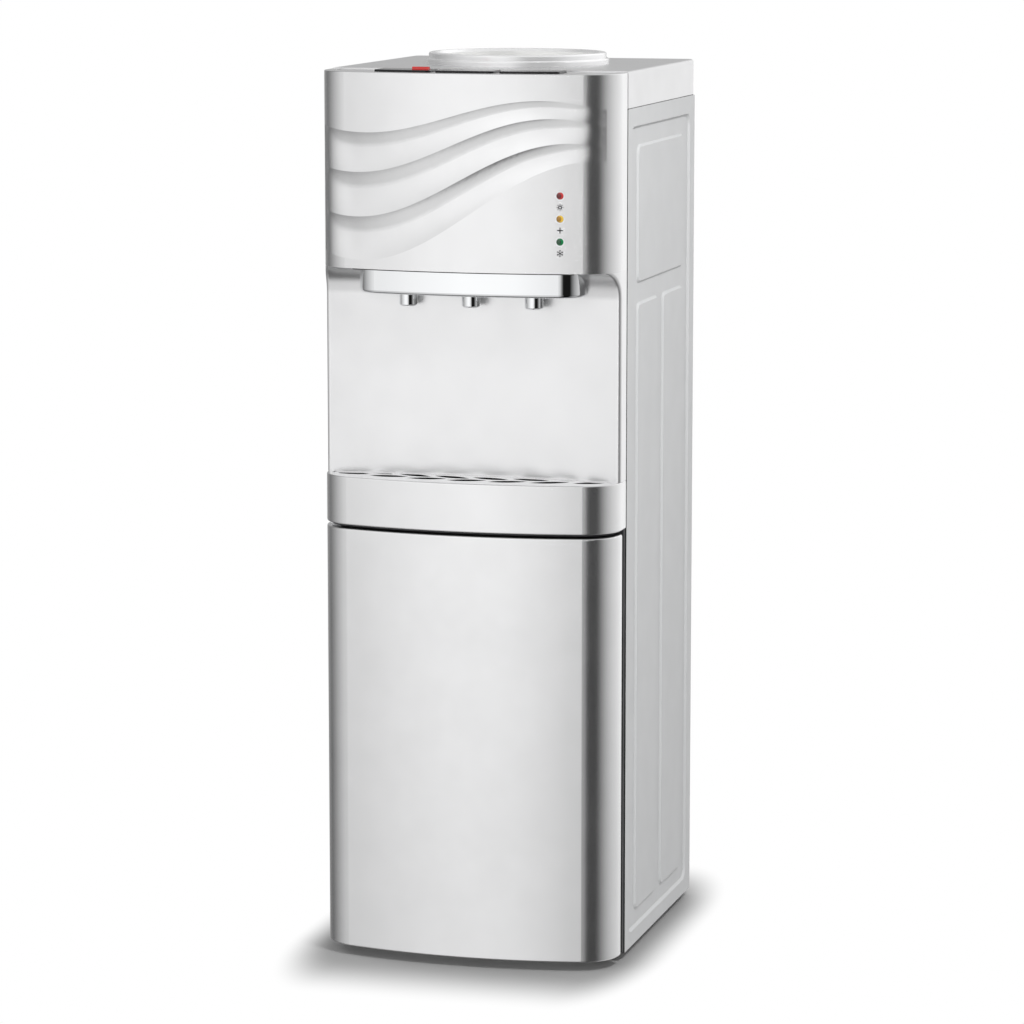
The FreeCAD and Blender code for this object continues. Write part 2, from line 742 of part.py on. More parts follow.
def rear_panel():
    """The steel back behind the condenser, with vent slots and holes for switches, drain and gland."""
    half = SIDE_INNER - FIT
    made = box(-half, half, REAR_Y, REAR_OUT_Y, REAR_BOTTOM, PANEL_TOP)
    for sx in (-1, 1):
        for row in range(VENT_ROWS):
            z = VENT_Z + row * VENT_PITCH
            x = sx * VENT_X
            slot = rounded(
                x - VENT_LENGTH / 2, x + VENT_LENGTH / 2, z, z + VENT_HEIGHT, VENT_HEIGHT / 2 - FIT,
                lambda u, v: V(u, REAR_Y - OVERRUN, v))
            made = made.cut(Part.Face(slot).extrude(V(0, REAR_SHEET + 2 * OVERRUN, 0)))
        for z in (COND_BOTTOM + COND_PITCH, COND_TOP - COND_PITCH):
            x = sx * STANDOFF_X
            made = made.fuse(box(x - STANDOFF_WIDTH / 2, x + STANDOFF_WIDTH / 2, REAR_OUT_Y, COND_Y - COND_TUBE_R,
                                 z - STANDOFF_HEIGHT / 2, z + STANDOFF_HEIGHT / 2))
    for x in SWITCH_X:
        made = made.cut(box(
            x - SWITCH_WIDTH / 2 - SWITCH_FRAME / 2, x + SWITCH_WIDTH / 2 + SWITCH_FRAME / 2,
            REAR_Y - OVERRUN, REAR_OUT_Y + OVERRUN,
            SWITCH_Z - SWITCH_HEIGHT / 2 - SWITCH_FRAME / 2, SWITCH_Z + SWITCH_HEIGHT / 2 + SWITCH_FRAME / 2))
    made = made.cut(rod_back(DRAIN_R + FIT, DRAIN_X, REAR_Y - OVERRUN, REAR_OUT_Y + OVERRUN, DRAIN_Z))
    return made.cut(rod_back(GLAND_R + FIT, GLAND_X, REAR_Y - OVERRUN, REAR_OUT_Y + OVERRUN, GLAND_Z))


def wave_z(index, x):
    """The height of one wave line at x: half a cosine between its trough and its crest."""
    trough = HALF * WAVE_TROUGH_SHARES[index]
    crest = HALF * WAVE_CREST_SHARES[index]
    phase = (x - trough) / (crest - trough)
    rise = WAVE_MID_SHARES[index] - WAVE_SWING_SHARES[index] * math.cos(math.pi * phase)
    return BAY_TOP + FASCIA_HEIGHT * rise


def outline_stations():
    """Even steps along the front outline from the left side to the right corner: place and outward normal."""
    corner_x, corner_y = corner_centre()
    turn = math.atan2(corner_x, BOW_Y - corner_y)
    straight = SEAM_Y - corner_y
    corner = CORNER_R * (math.pi / 2 - turn)
    bow = 2 * BOW_R * turn
    whole = 2 * (straight + corner) + bow
    stations = []
    for step in range(WAVE_STATIONS):
        share = WAVE_START_SHARE + (WAVE_END_SHARE - WAVE_START_SHARE) * step / (WAVE_STATIONS - 1)
        run = share * whole
        if run < straight:
            place, angle = V(-HALF, SEAM_Y - run, 0), -math.pi / 2
        elif run < straight + corner:
            angle = -math.pi / 2 + (run - straight) / CORNER_R
            place = V(-corner_x + CORNER_R * math.sin(angle), corner_y - CORNER_R * math.cos(angle), 0)
        elif run < straight + corner + bow:
            angle = -turn + (run - straight - corner) / BOW_R
            place = V(BOW_R * math.sin(angle), BOW_Y - BOW_R * math.cos(angle), 0)
        else:
            angle = turn + (run - straight - corner - bow) / CORNER_R
            place = V(corner_x + CORNER_R * math.sin(angle), corner_y - CORNER_R * math.cos(angle), 0)
        stations.append((place, V(math.sin(angle), -math.cos(angle), 0), step / (WAVE_STATIONS - 1)))
    return stations


def hollow_middle(depth, height):
    """Half way along the arc that starts in line with the front, depth in from it, and runs out over a height."""
    radius = (depth ** 2 + height ** 2) / (2 * depth)
    half_angle = math.asin(height / radius) / 2
    return depth - radius * (1 - math.cos(half_angle)), radius * math.sin(half_angle)


def wave_section(place, normal, share):
    """One upright section of the wave cutter: a shallow hollow between each two lines, deepest above its middle."""
    fade = min(1.0, share / WAVE_RISE_SHARE, (1 - share) / WAVE_FADE_SHARE)
    smooth = fade * fade * (3 - 2 * fade)
    sink = WAVE_RIDGE_SINK * smooth

    def at(inset, z):
        return V(place.x - normal.x * inset, place.y - normal.y * inset, z)

    heights = [wave_z(index, place.x) for index in range(len(WAVE_MID_SHARES))]
    first = at(-WAVE_OUTSIDE, heights[0])
    here = at(sink, heights[0])
    edges = [line(first, here)]
    for upper, lower in zip(heights, heights[1:]):
        depth = WAVE_LEAST_DEPTH + (upper - lower) * WAVE_DEPTH_SHARE * smooth
        bottom = upper - (upper - lower) * WAVE_DEEPEST_SHARE
        deep = at(sink + depth, bottom)
        ridge = at(sink, lower)
        inset_in, rise_in = hollow_middle(depth, upper - bottom)
        inset_out, fall_out = hollow_middle(depth, bottom - lower)
        edges.append(arc(here, at(sink + inset_in, bottom + rise_in), deep))
        edges.append(arc(deep, at(sink + inset_out, bottom - fall_out), ridge))
        here = ridge
    last = at(-WAVE_OUTSIDE, heights[-1])
    edges.append(line(here, last))
    edges.append(line(last, first))
    return Part.Wire(edges)


def wave_cutter():
    """The body that carves the wave relief, lofted along the front outline."""
    sections = [wave_section(*station) for station in outline_stations()]
    return Part.makeLoft(sections, True, False)


def seam_grooves(z0, z1):
    """The narrow grooves down both sides, where a front moulding meets the side panels."""
    right = box(HALF - SEAM_GROOVE_DEPTH, HALF + OVERRUN, SEAM_Y - SEAM_GROOVE, SEAM_Y + OVERRUN, z0, z1)
    return right.fuse(right.mirror(V(0, 0, 0), V(1, 0, 0)))


def fascia():
    """The upper front with its wave relief, hollow behind, with seats for the lamps."""
    shell = raised(front_face(0), BAY_TOP, FASCIA_TOP)
    shell = shell.makeFillet(FASCIA_EDGE_R, front_edges(shell, FASCIA_TOP, SEAM_Y))
    hollow = raised(front_face(FASCIA_WALL), BAY_TOP - OVERRUN, FASCIA_TOP + OVERRUN)
    hollow = hollow.common(behind_bow(FASCIA_FRONT_WALL, BAY_TOP - OVERRUN, FASCIA_TOP + OVERRUN))
    back = box(-HALF + FASCIA_WALL, HALF - FASCIA_WALL, SEAM_Y - OVERRUN, SEAM_Y + OVERRUN,
               BAY_TOP - OVERRUN, FASCIA_TOP + OVERRUN)
    shell = shell.cut(hollow.fuse(back)).cut(wave_cutter())
    for z in LAMP_Z:
        bore = rod_back(LENS_R + FIT / 2, 0, -OVERRUN, FASCIA_FRONT_WALL + OVERRUN, 0)
        seat = rod_back(BEZEL_R + FIT / 2, 0, -OVERRUN, BEZEL_SEAT, 0)
        shell = shell.cut(on_bow(bore.fuse(seat), LAMP_X, z))
    return shell.cut(seam_grooves(BAY_TOP - OVERRUN, FASCIA_TOP + OVERRUN))


def bay_panel():
    """The hollow back wall of the bay with its coved ceiling, and the holes for the three valves."""
    wall = raised(front_face(0), DECK_Z, BAY_TOP)
    inset = FASCIA_WALL + FIT
    ceiling = raised(front_face(inset), BAY_TOP, BAY_TOP + CEILING)
    ceiling = ceiling.common(behind_bow(FASCIA_FRONT_WALL + FIT, BAY_TOP, BAY_TOP + CEILING))
    wall = wall.cut(bay_void(0))
    sides = [e for e in wall.Edges if e.BoundBox.ZLength > BAY_HEIGHT / 2 and e.BoundBox.YMax < SEAM_Y - BAY_SKIN]
    wall = wall.makeFillet(BAY_EDGE_R, sides)
    made = wall.fuse(ceiling.cut(bay_void(0)))
    pocket = raised(front_face(BAY_SKIN), DECK_Z + BAY_SKIN, BAY_TOP - COVE_R)
    pocket = pocket.cut(Part.makeCylinder(BAY_R + BAY_SKIN, BAY_HEIGHT, V(0, BAY_Y, DECK_Z)))
    made = made.cut(pocket)
    for x in TAP_X:
        made = made.cut(rod(VALVE_R + FIT, x, TAP_Y, BAR_BOTTOM, BAY_TOP + CEILING + OVERRUN))
    return made.cut(seam_grooves(DECK_Z - OVERRUN, BAY_TOP))


def apron():
    """The drip shelf: a bowed front band with a sunk seat for the tray, hollow underneath."""
    made = raised(front_face(0), APRON_BOTTOM, DECK_Z)
    rims = front_edges(made, DECK_Z, SEAM_Y) + front_edges(made, APRON_BOTTOM, SEAM_Y)
    made = made.makeFillet(APRON_EDGE_R, rims)
    made = made.cut(bay_floor(TRAY_RIM, 0, TRAY_FLOOR, DECK_Z + OVERRUN))
    hollow = raised(front_face(APRON_WALL), APRON_BOTTOM + APRON_WALL, TRAY_FLOOR - APRON_WALL)
    back = box(-HALF + APRON_WALL, HALF - APRON_WALL, SEAM_Y - OVERRUN, SEAM_Y + OVERRUN,
               APRON_BOTTOM + APRON_WALL, TRAY_FLOOR - APRON_WALL)
    return made.cut(hollow).cut(back).cut(seam_grooves(APRON_BOTTOM - OVERRUN, DECK_Z + OVERRUN))


def drip_tray():
    """The lift-out tray under the grille."""
    top = DECK_Z - GRILLE_SINK - GRILLE_PLATE
    inset = TRAY_RIM + TRAY_PLAY
    outer = bay_floor(inset, TRAY_PLAY, TRAY_FLOOR, top)
    inner = bay_floor(inset + TRAY_WALL, TRAY_PLAY + TRAY_WALL, TRAY_FLOOR + TRAY_WALL, top + OVERRUN)
    return outer.cut(inner)


def leaf(x, y, turn, z0, z1):
    """A leaf-shaped hole: two round arcs that meet in points."""
    half = LEAF_LENGTH / 2
    bulge = LEAF_WIDTH / 2
    ends = (V(-half, 0, 0), V(half, 0, 0))
    wire = Part.Wire([
        arc(ends[0], V(0, bulge, 0), ends[1]),
        arc(ends[1], V(0, -bulge, 0), ends[0]),
    ])
    made = raised(Part.Face(wire), z0, z1)
    made.rotate(ORIGIN, Z_AXIS, turn)
    made.translate(V(x, y, 0))
    return made


def drip_grille():
    """The cover of the tray: a rimmed plate with rows of leaf-shaped holes that follow the bow."""
    top = DECK_Z - GRILLE_SINK
    bottom = top - GRILLE_PLATE
    inset = TRAY_RIM + TRAY_PLAY
    made = bay_floor(inset, TRAY_PLAY, bottom, top)
    field = bay_floor(inset + GRILLE_RIM, TRAY_PLAY + GRILLE_RIM, bottom - OVERRUN, top + OVERRUN)
    holes = []
    for row in range(LEAF_ROWS):
        shift = (row % 2) * LEAF_PITCH / 2
        for step in range(LEAF_COUNT + 1 - row % 2):
            x = (step - LEAF_COUNT / 2) * LEAF_PITCH + shift
            place, turn = bow_point(x, LEAF_INSET + row * LEAF_ROW_STEP)
            holes.append(leaf(place.x, place.y, turn + LEAF_TURN * (1 - 2 * (row % 2)),
                              bottom - OVERRUN, top + OVERRUN))
    return made.cut(group(holes).common(field))


def tap_bar():
    """The chromed bar under the ceiling of the bay, with upright seats for the valves."""
    made = box(-BAR_HALF, BAR_HALF, FRONT_Y, BACK_Y, BAR_BOTTOM, BAY_TOP)
    made = made.common(behind_bow(BAR_INSET, BAR_BOTTOM, BAY_TOP))
    upright = [e for e in made.Edges if e.BoundBox.ZLength > BAR_HEIGHT - FIT and e.BoundBox.YMax < SEAM_Y]
    made = made.makeFillet(BAR_CORNER_R, upright)
    made = made.makeFillet(BAR_EDGE_R, front_edges(made, BAR_BOTTOM, BACK_Y))
    made = made.common(bay_void(FIT))
    half = BAR_HALF - BAR_SLOT_DEPTH
    core = box(-half, half, FRONT_Y, BACK_Y, BAY_TOP - BAR_SLOT, BAY_TOP)
    core = core.common(behind_bow(BAR_INSET + BAR_SLOT_DEPTH, BAY_TOP - BAR_SLOT, BAY_TOP))
    made = made.cut(box(-HALF, HALF, FRONT_Y, BACK_Y, BAY_TOP - BAR_SLOT, BAY_TOP).cut(core))
    for x in TAP_X:
        made = made.cut(rod(SPOUT_NECK_R + FIT, x, TAP_Y, BAR_BOTTOM - OVERRUN, BAR_FLOOR + OVERRUN))
        made = made.cut(rod(VALVE_R + FIT, x, TAP_Y, BAR_FLOOR, BAY_TOP + OVERRUN))
    return made


def spout(x):
    """A short chromed nozzle below the bar, chamfered at its mouth, with a neck up to its valve."""
    bottom = BAR_BOTTOM - SPOUT_DROP
    nozzle = rod(SPOUT_R, x, TAP_Y, bottom, BAR_BOTTOM)
    nozzle = nozzle.makeChamfer(SPOUT_CHAMFER, edges_at_z(nozzle, bottom))
    made = fused([nozzle, rod(SPOUT_NECK_R, x, TAP_Y, BAR_BOTTOM, BAR_FLOOR)])
    return made.cut(rod(SPOUT_BORE, x, TAP_Y, bottom - OVERRUN, BAR_FLOOR + OVERRUN))


def valves():
    """Three tap valves that stand in the bar, each with a bore for its rod and a spigot at the back."""
    made = []
    for x in TAP_X:
        body = rod(VALVE_R, x, TAP_Y, BAR_FLOOR, VALVE_TOP)
        spigot = rod_back(SPIGOT_R, x, TAP_Y, TAP_Y + SPIGOT_LENGTH, SPIGOT_Z)
        bore = rod(ROD_R + ROD_PLAY, x, TAP_Y, VALVE_TOP - VALVE_BORE_DEPTH, VALVE_TOP + OVERRUN)
        made.append(body.fuse(spigot).removeSplitter().cut(bore))
    return group(made)


def key_plan(x, grow, z0, z1):
    """The plan of one press key between two arcs of the bow, made solid."""
    half = KEY_WIDTH / 2 + grow
    sides = box(x - half, x + half, FRONT_Y, SEAM_Y + DEPTH / 2, z0, z1)
    made = sides.common(behind_bow(KEY_FRONT_INSET - grow, z0, z1))
    made = made.cut(behind_bow(KEY_FRONT_INSET + KEY_DEPTH + grow, z0 - OVERRUN, z1 + OVERRUN))
    upright = [e for e in made.Edges if e.BoundBox.ZLength > z1 - z0 - FIT]
    return made.makeFillet(KEY_CORNER_R + grow, upright)


def lock_place():
    """The middle of the child lock on the hot key: towards its inner end."""
    x = TAP_X[0] + KEY_WIDTH / 2 - LOCK_EDGE_GAP - LOCK_WIDTH / 2
    place, _ = bow_point(x, KEY_FRONT_INSET + KEY_DEPTH / 2)
    return x, place.y - LOCK_TRAVEL / 2


def press_key(x):
    """A press key with a flange that keeps it in and a rod to its valve. The hot one has a lock track."""
    top = key_plan(x, 0, KEY_BOTTOM + KEY_SKIRT, KEY_TOP)
    top = top.makeFillet(KEY_EDGE_R, edges_at_z(top, KEY_TOP))
    flange_top = KEY_BOTTOM + KEY_SKIRT + KEY_FLANGE_HEIGHT
    flange = key_plan(x, KEY_FLANGE, KEY_BOTTOM + KEY_SKIRT, flange_top)
    hub = rod(SPRING_R + SPRING_WIRE_R, x, TAP_Y, KEY_BOTTOM, KEY_BOTTOM + KEY_SKIRT)
    stem = rod(ROD_R, x, TAP_Y, VALVE_TOP - ROD_REST_GAP, KEY_BOTTOM)
    made = fused([top, flange, hub, stem])
    if x == TAP_X[0]:
        lock_x, lock_y = lock_place()
        half_x = LOCK_WIDTH / 2 + LOCK_PLAY
        y0 = lock_y - LOCK_LENGTH / 2 - LOCK_PLAY
        y1 = lock_y + LOCK_LENGTH / 2 + LOCK_TRAVEL + LOCK_PLAY
        made = made.cut(box(lock_x - half_x, lock_x + half_x, y0, y1, KEY_TOP - LOCK_PLATE, KEY_TOP + OVERRUN))
    return made


def child_lock():
    """The red slider on the hot key: a plate with a finger ridge."""
    x, y = lock_place()
    floor_z = KEY_TOP - LOCK_PLATE
    base = box(x - LOCK_WIDTH / 2, x + LOCK_WIDTH / 2, y - LOCK_LENGTH / 2, y + LOCK_LENGTH / 2, floor_z, KEY_TOP)
    ridge_half = LOCK_RIDGE_DEPTH / 2
    profile = Part.Face(Part.Wire([
        line(V(x, y - ridge_half, KEY_TOP), V(x, y + ridge_half, KEY_TOP)),
        arc(V(x, y + ridge_half, KEY_TOP), V(x, y, KEY_TOP + LOCK_RIDGE), V(x, y - ridge_half, KEY_TOP)),
    ]))
    ridge = profile.extrude(V(LOCK_WIDTH, 0, 0)).translated(V(-LOCK_WIDTH / 2, 0, 0))
    return fused([base, ridge])


def key_carrier():
    """The plate inside the fascia that guides the rods and carries the springs."""
    inset = FASCIA_WALL + FIT
    z0 = CARRIER_TOP - CARRIER_PLATE
    made = raised(front_face(inset), z0, CARRIER_TOP)
    made = made.common(behind_bow(FASCIA_FRONT_WALL + FIT, z0, CARRIER_TOP))
    for x in TAP_X:
        made = made.cut(rod(ROD_R + ROD_PLAY, x, TAP_Y, z0 - OVERRUN, CARRIER_TOP + OVERRUN))
    return made


def key_spring(x):
    """The spring that returns a key, on the carrier round the rod."""
    pitch = (SPRING_SPACE - 4 * SPRING_WIRE_R) / SPRING_TURNS
    return coil(x, TAP_Y, CARRIER_TOP + 2 * SPRING_WIRE_R, SPRING_R - SPRING_WIRE_R, pitch,
                SPRING_TURNS, SPRING_WIRE_R)


def top_cap():
    """The moulded top: a skirted lid over the cabinet with a tongue over the fascia for the keys."""
    made = plate(-HALF, HALF, SEAM_Y - CAP_CORNER_R, BACK_Y, PANEL_TOP, CAP_TOP, CAP_CORNER_R)
    made = made.cut(box(-HALF, HALF, FRONT_Y, SEAM_Y, PANEL_TOP - OVERRUN, CAP_TOP + OVERRUN))
    rims = [e for e in edges_at_z(made, CAP_TOP) if e.BoundBox.YMax > SEAM_Y + FIT]
    made = made.makeFillet(CAP_EDGE_R, rims)
    made = made.cut(box(-HALF + CAP_WALL, HALF - CAP_WALL, SEAM_Y - OVERRUN, BACK_Y - CAP_WALL,
                        PANEL_TOP - OVERRUN, CAP_TOP - CAP_WALL))
    inset = FASCIA_WALL + FIT
    tongue = raised(front_face(inset), TONGUE_BOTTOM, TONGUE_TOP)
    tongue = tongue.common(behind_bow(FASCIA_FRONT_WALL + FIT, TONGUE_BOTTOM, TONGUE_TOP))
    made = fused([made, tongue])
    for x in TAP_X:
        made = made.cut(key_plan(x, KEY_PLAY, TONGUE_BOTTOM - OVERRUN, TONGUE_TOP + OVERRUN))
    return made.cut(rod(SEAT_HOLE_R, 0, SEAT_Y, PANEL_TOP, CAP_TOP + OVERRUN))


def turned(points):
    """A ring turned from a closed outline of radius and height points about the bottle's axis."""
    corners = [V(r, SEAT_Y, z) for r, z in points]
    profile = Part.Face(Part.makePolygon(corners + corners[:1]))
    return profile.revolve(V(0, SEAT_Y, 0), Z_AXIS, FULL_TURN)


def bottle_seat():
    """The round two-tier collar that the bottle's shoulder rests on."""
    tier_z = CAP_TOP + SEAT_TIER
    base = rod(SEAT_R, 0, SEAT_Y, CAP_TOP, tier_z)
    base = base.makeFillet(SEAT_ROUND, edges_at_z(base, tier_z))
    rim = rod(SEAT_R - SEAT_STEP, 0, SEAT_Y, CAP_TOP, RING_TOP)
    rim = rim.makeFillet(SEAT_ROUND, edges_at_z(rim, RING_TOP))
    bore = turned([
        (0, CAP_TOP - OVERRUN),
        (SEAT_INNER_R, CAP_TOP - OVERRUN),
        (SEAT_INNER_R, RING_TOP - SEAT_BEVEL),
        (SEAT_INNER_R + SEAT_BEVEL, RING_TOP),
        (SEAT_INNER_R + SEAT_BEVEL, RING_TOP + OVERRUN),
        (0, RING_TOP + OVERRUN),
    ])
    return fused([base, rim]).cut(bore)


def seat_funnel():
    """The funnel that hangs under the collar and leads down to the cold tank."""
    hole = SEAT_HOLE_R - FIT
    funnel_z = CAP_TOP - FUNNEL_DROP
    return turned([
        (hole, CAP_TOP),
        (SEAT_INNER_R, CAP_TOP),
        (NECK_R, funnel_z),
        (NECK_R, NECK_BOTTOM),
        (NECK_R + SEAT_WALL, NECK_BOTTOM),
        (NECK_R + SEAT_WALL, funnel_z - SEAT_WALL),
        (hole, CAP_TOP - SEAT_WALL),
    ])


def feed_probe():
    """The spike that opens the bottle's cap: a pointed tube on a pierced disc in the funnel's neck."""
    top = CAP_TOP - PROBE_TOP_DROP
    disc_top = NECK_BOTTOM + PROBE_DISC
    made = fused([
        rod(NECK_R - FIT, 0, SEAT_Y, NECK_BOTTOM, disc_top),
        rod(PROBE_R, 0, SEAT_Y, disc_top, top - PROBE_TIP),
        Part.makeCone(PROBE_R, PROBE_TIP_R, PROBE_TIP, V(0, SEAT_Y, top - PROBE_TIP)),
    ])
    made = made.cut(rod(PROBE_BORE, 0, SEAT_Y, NECK_BOTTOM - OVERRUN, top - PROBE_TIP))
    ring = (NECK_R + PROBE_R) / 2
    for step in range(PROBE_PORT_COUNT):
        angle = 2 * math.pi * step / PROBE_PORT_COUNT
        x = ring * math.cos(angle)
        y = SEAT_Y + ring * math.sin(angle)
        made = made.cut(rod(PROBE_PORT_R, x, y, NECK_BOTTOM - OVERRUN, disc_top + OVERRUN))
    return made


def lamp_lens(z):
    """A domed lamp lens that passes through the fascia to the board."""
    stem = rod_back(LENS_R, 0, -BEZEL_RISE, FASCIA_FRONT_WALL + FIT, 0)
    dome_r = (LENS_R ** 2 + LENS_DOME ** 2) / (2 * LENS_DOME)
    dome = Part.makeSphere(dome_r, V(0, dome_r - BEZEL_RISE - LENS_DOME, 0))
    cap = rod_back(LENS_R, 0, -BEZEL_RISE - LENS_DOME, -BEZEL_RISE, 0).common(dome)
    return on_bow(fused([stem, cap]), LAMP_X, z)


def lamp_bezels():
    """Three rings round the lamps, seated in the fascia."""
    made = []
    for z in LAMP_Z:
        ring = rod_back(BEZEL_R, 0, -BEZEL_RISE, BEZEL_SEAT, 0)
        ring = ring.cut(rod_back(LENS_R + FIT / 2, 0, -BEZEL_RISE - OVERRUN, BEZEL_SEAT + OVERRUN, 0))
        made.append(on_bow(ring, LAMP_X, z))
    return group(made)


def lamp_board():
    """The small circuit board behind the lamps."""
    middle = (LAMP_Z[0] + LAMP_Z[-1]) / 2
    half_z = (LAMP_Z[0] - LAMP_Z[-1]) / 2 + BOARD_MARGIN
    y0 = FASCIA_FRONT_WALL + FIT
    board = box(-BOARD_WIDTH / 2, BOARD_WIDTH / 2, y0, y0 + BOARD_PLATE, -half_z, half_z)
    return on_bow(board, LAMP_X, middle)


def door_block(inset, z0, z1):
    """The plan of the door, made solid: the bowed front cut off at the door's back."""
    keep = box(-WIDTH, WIDTH, FRONT_Y - OVERRUN, DOOR_BACK, z0, z1)
    return raised(front_face(inset), z0, z1).common(keep)


def hinge_bores(grow):
    """Upright bars at the hinge line for the two pins."""
    return [
        rod(PIN_R + grow, HINGE_X, HINGE_Y, DOOR_TOP - PIN_LENGTH, DOOR_TOP + DOOR_GAP),
        rod(PIN_R + grow, HINGE_X, HINGE_Y, DOOR_BOTTOM - DOOR_LIFT, DOOR_BOTTOM + PIN_LENGTH),
    ]


def door_skin():
    """The bowed outside of the door: a deep pan with bosses for the hinge pins."""
    made = door_block(0, DOOR_BOTTOM, DOOR_TOP)
    rims = front_edges(made, DOOR_TOP, DOOR_BACK) + front_edges(made, DOOR_BOTTOM, DOOR_BACK)
    made = made.makeFillet(DOOR_EDGE_R, rims)
    hollow = raised(front_face(DOOR_SKIN), DOOR_BOTTOM + DOOR_SKIN, DOOR_TOP - DOOR_SKIN)
    made = made.cut(hollow)
    reach = PIN_LENGTH + DOOR_SKIN
    for z0, z1 in ((DOOR_TOP - reach, DOOR_TOP), (DOOR_BOTTOM, DOOR_BOTTOM + reach)):
        boss = rod(BOSS_R, HINGE_X, HINGE_Y, z0, z1).common(door_block(0, z0, z1))
        made = made.fuse(boss)
    made = made.removeSplitter()
    for bore in hinge_bores(PIN_PLAY):
        made = made.cut(bore)
    return made


def door_panel():
    """The inner face of the door: a plate with a dished field, set inside the pan."""
    inset = DOOR_SKIN + FIT
    z0 = DOOR_BOTTOM + inset
    z1 = DOOR_TOP - inset
    back = box(-WIDTH, WIDTH, DOOR_BACK - DOOR_PANEL, DOOR_BACK, z0, z1)
    made = raised(front_face(inset), z0, z1).common(back)
    half = HALF - DOOR_PANEL_MARGIN
    dish_z0 = z0 + DOOR_PANEL_MARGIN
    dish_z1 = z1 - DOOR_PANEL_MARGIN
    floor_y = DOOR_BACK - DOOR_PANEL - DOOR_PANEL_PRESS
    made = made.fuse(box(-half, half, floor_y, DOOR_BACK, dish_z0, dish_z1))
    made = made.cut(box(-half + DOOR_PANEL, half - DOOR_PANEL, DOOR_BACK - DOOR_PANEL_PRESS, DOOR_BACK + OVERRUN,
                        dish_z0 + DOOR_PANEL, dish_z1 - DOOR_PANEL))
    reach = PIN_LENGTH + DOOR_SKIN + FIT
    for low, high in ((DOOR_TOP - reach, DOOR_TOP), (DOOR_BOTTOM, DOOR_BOTTOM + reach)):
        made = made.cut(rod(BOSS_R + FIT, HINGE_X, HINGE_Y, low, high))
    return made.removeSplitter()


def ring_block(half_out, half_in, y0, y1, z_out, z_in):
    """A rectangular ring that faces the front; z_out and z_in hold its lower and upper heights."""
    outer = box(-half_out, half_out, y0, y1, z_out[0], z_out[1])
    return outer.cut(box(-half_in, half_in, y0 - OVERRUN, y1 + OVERRUN, z_in[0], z_in[1]))


def door_frame():
    """The dark frame that the door closes against, with a visor that closes the apron from below."""
    inner = FRAME_HALF - FRAME_WIDTH
    z_in = (FRAME_BOTTOM + FRAME_WIDTH, FRAME_TOP - FRAME_WIDTH)
    ring = ring_block(FRAME_HALF, inner, FRAME_Y, SEAM_Y, (FRAME_BOTTOM, FRAME_TOP), z_in)
    lip = box(inner, FRAME_HALF + FRAME_LIP, FRAME_Y, SEAM_Y, FRAME_BOTTOM, FRAME_TOP)
    lip = lip.cut(box(inner, FRAME_HALF, FRAME_Y, SEAM_Y, FRAME_BOTTOM, FRAME_TOP))
    return fused([ring, lip, raised(front_face(VISOR_INSET), FRAME_TOP - VISOR_PLATE, FRAME_TOP)])


def door_seal():
    """The soft seal on the back of the door."""
    z_in = (SEAL_INNER_BOTTOM, SEAL_INNER_TOP)
    z_out = (SEAL_INNER_BOTTOM - SEAL_WIDTH, SEAL_INNER_TOP + SEAL_WIDTH)
    return ring_block(SEAL_INNER_X + SEAL_WIDTH, SEAL_INNER_X, DOOR_BACK, FRAME_Y - SEAL_GAP, z_out, z_in)


def hinge_brackets():
    """Two steel brackets with pins: the upper one on the frame, the lower one on the cabinet's front fold."""
    half = BRACKET_WIDTH / 2
    top = DOOR_TOP + BRACKET_GAP
    bottom = DOOR_BOTTOM - BRACKET_GAP
    upper = fused([
        box(HINGE_X - half, HINGE_X + half, HINGE_Y - half, FRAME_Y, top, top + BRACKET_PLATE),
        rod(PIN_R, HINGE_X, HINGE_Y, DOOR_TOP - PIN_LENGTH + BRACKET_GAP, top),
    ])
    lower = fused([
        box(HINGE_X - half, HINGE_X + half, HINGE_Y - half, SEAM_Y, bottom - BRACKET_PLATE, bottom),
        rod(PIN_R, HINGE_X, HINGE_Y, bottom, DOOR_BOTTOM + PIN_LENGTH - BRACKET_GAP),
    ])
    return group([upper, lower])


def catch_block(y0, y1):
    """A block beside the seal on the closing edge of the door, half way up."""
    middle = (DOOR_BOTTOM + DOOR_TOP) / 2
    x0 = SEAL_INNER_X + SEAL_WIDTH + FIT
    return box(x0, FRAME_HALF - FIT, y0, y1, middle - CATCH_HEIGHT / 2, middle + CATCH_HEIGHT / 2)


def storage_liner():
    """The open-fronted box behind the door."""
    outer = box(-LINER_HALF, LINER_HALF, SEAM_Y, LINER_BACK, LINER_BOTTOM, LINER_TOP)
    inner = box(-LINER_HALF + LINER_WALL, LINER_HALF - LINER_WALL, SEAM_Y - OVERRUN, LINER_BACK - LINER_WALL,
                LINER_BOTTOM + LINER_WALL, LINER_TOP - LINER_WALL)
    upright = [e for e in inner.Edges if e.BoundBox.ZLength > DOOR_HEIGHT / 2 and e.BoundBox.YMin > SEAM_Y]
    return outer.cut(inner.makeFillet(LINER_CORNER_R, upright))


def cold_tank():
    """The stainless tank under the bottle, open in the middle of its top."""
    outer = rod(TANK_R, 0, SEAT_Y, TANK_BOTTOM, TANK_TOP)
    outer = outer.makeFillet(TANK_EDGE_R, edges_at_z(outer, TANK_BOTTOM))
    inner = rod(TANK_R - TANK_WALL, 0, SEAT_Y, TANK_BOTTOM + TANK_WALL, TANK_TOP - TANK_WALL)
    inner = inner.makeFillet(TANK_EDGE_R, edges_at_z(inner, TANK_BOTTOM + TANK_WALL))
    mouth = rod(NECK_R + SEAT_WALL + FIT, 0, SEAT_Y, TANK_TOP - OVERRUN, TANK_TOP + OVERRUN)
    return outer.cut(inner).cut(mouth)


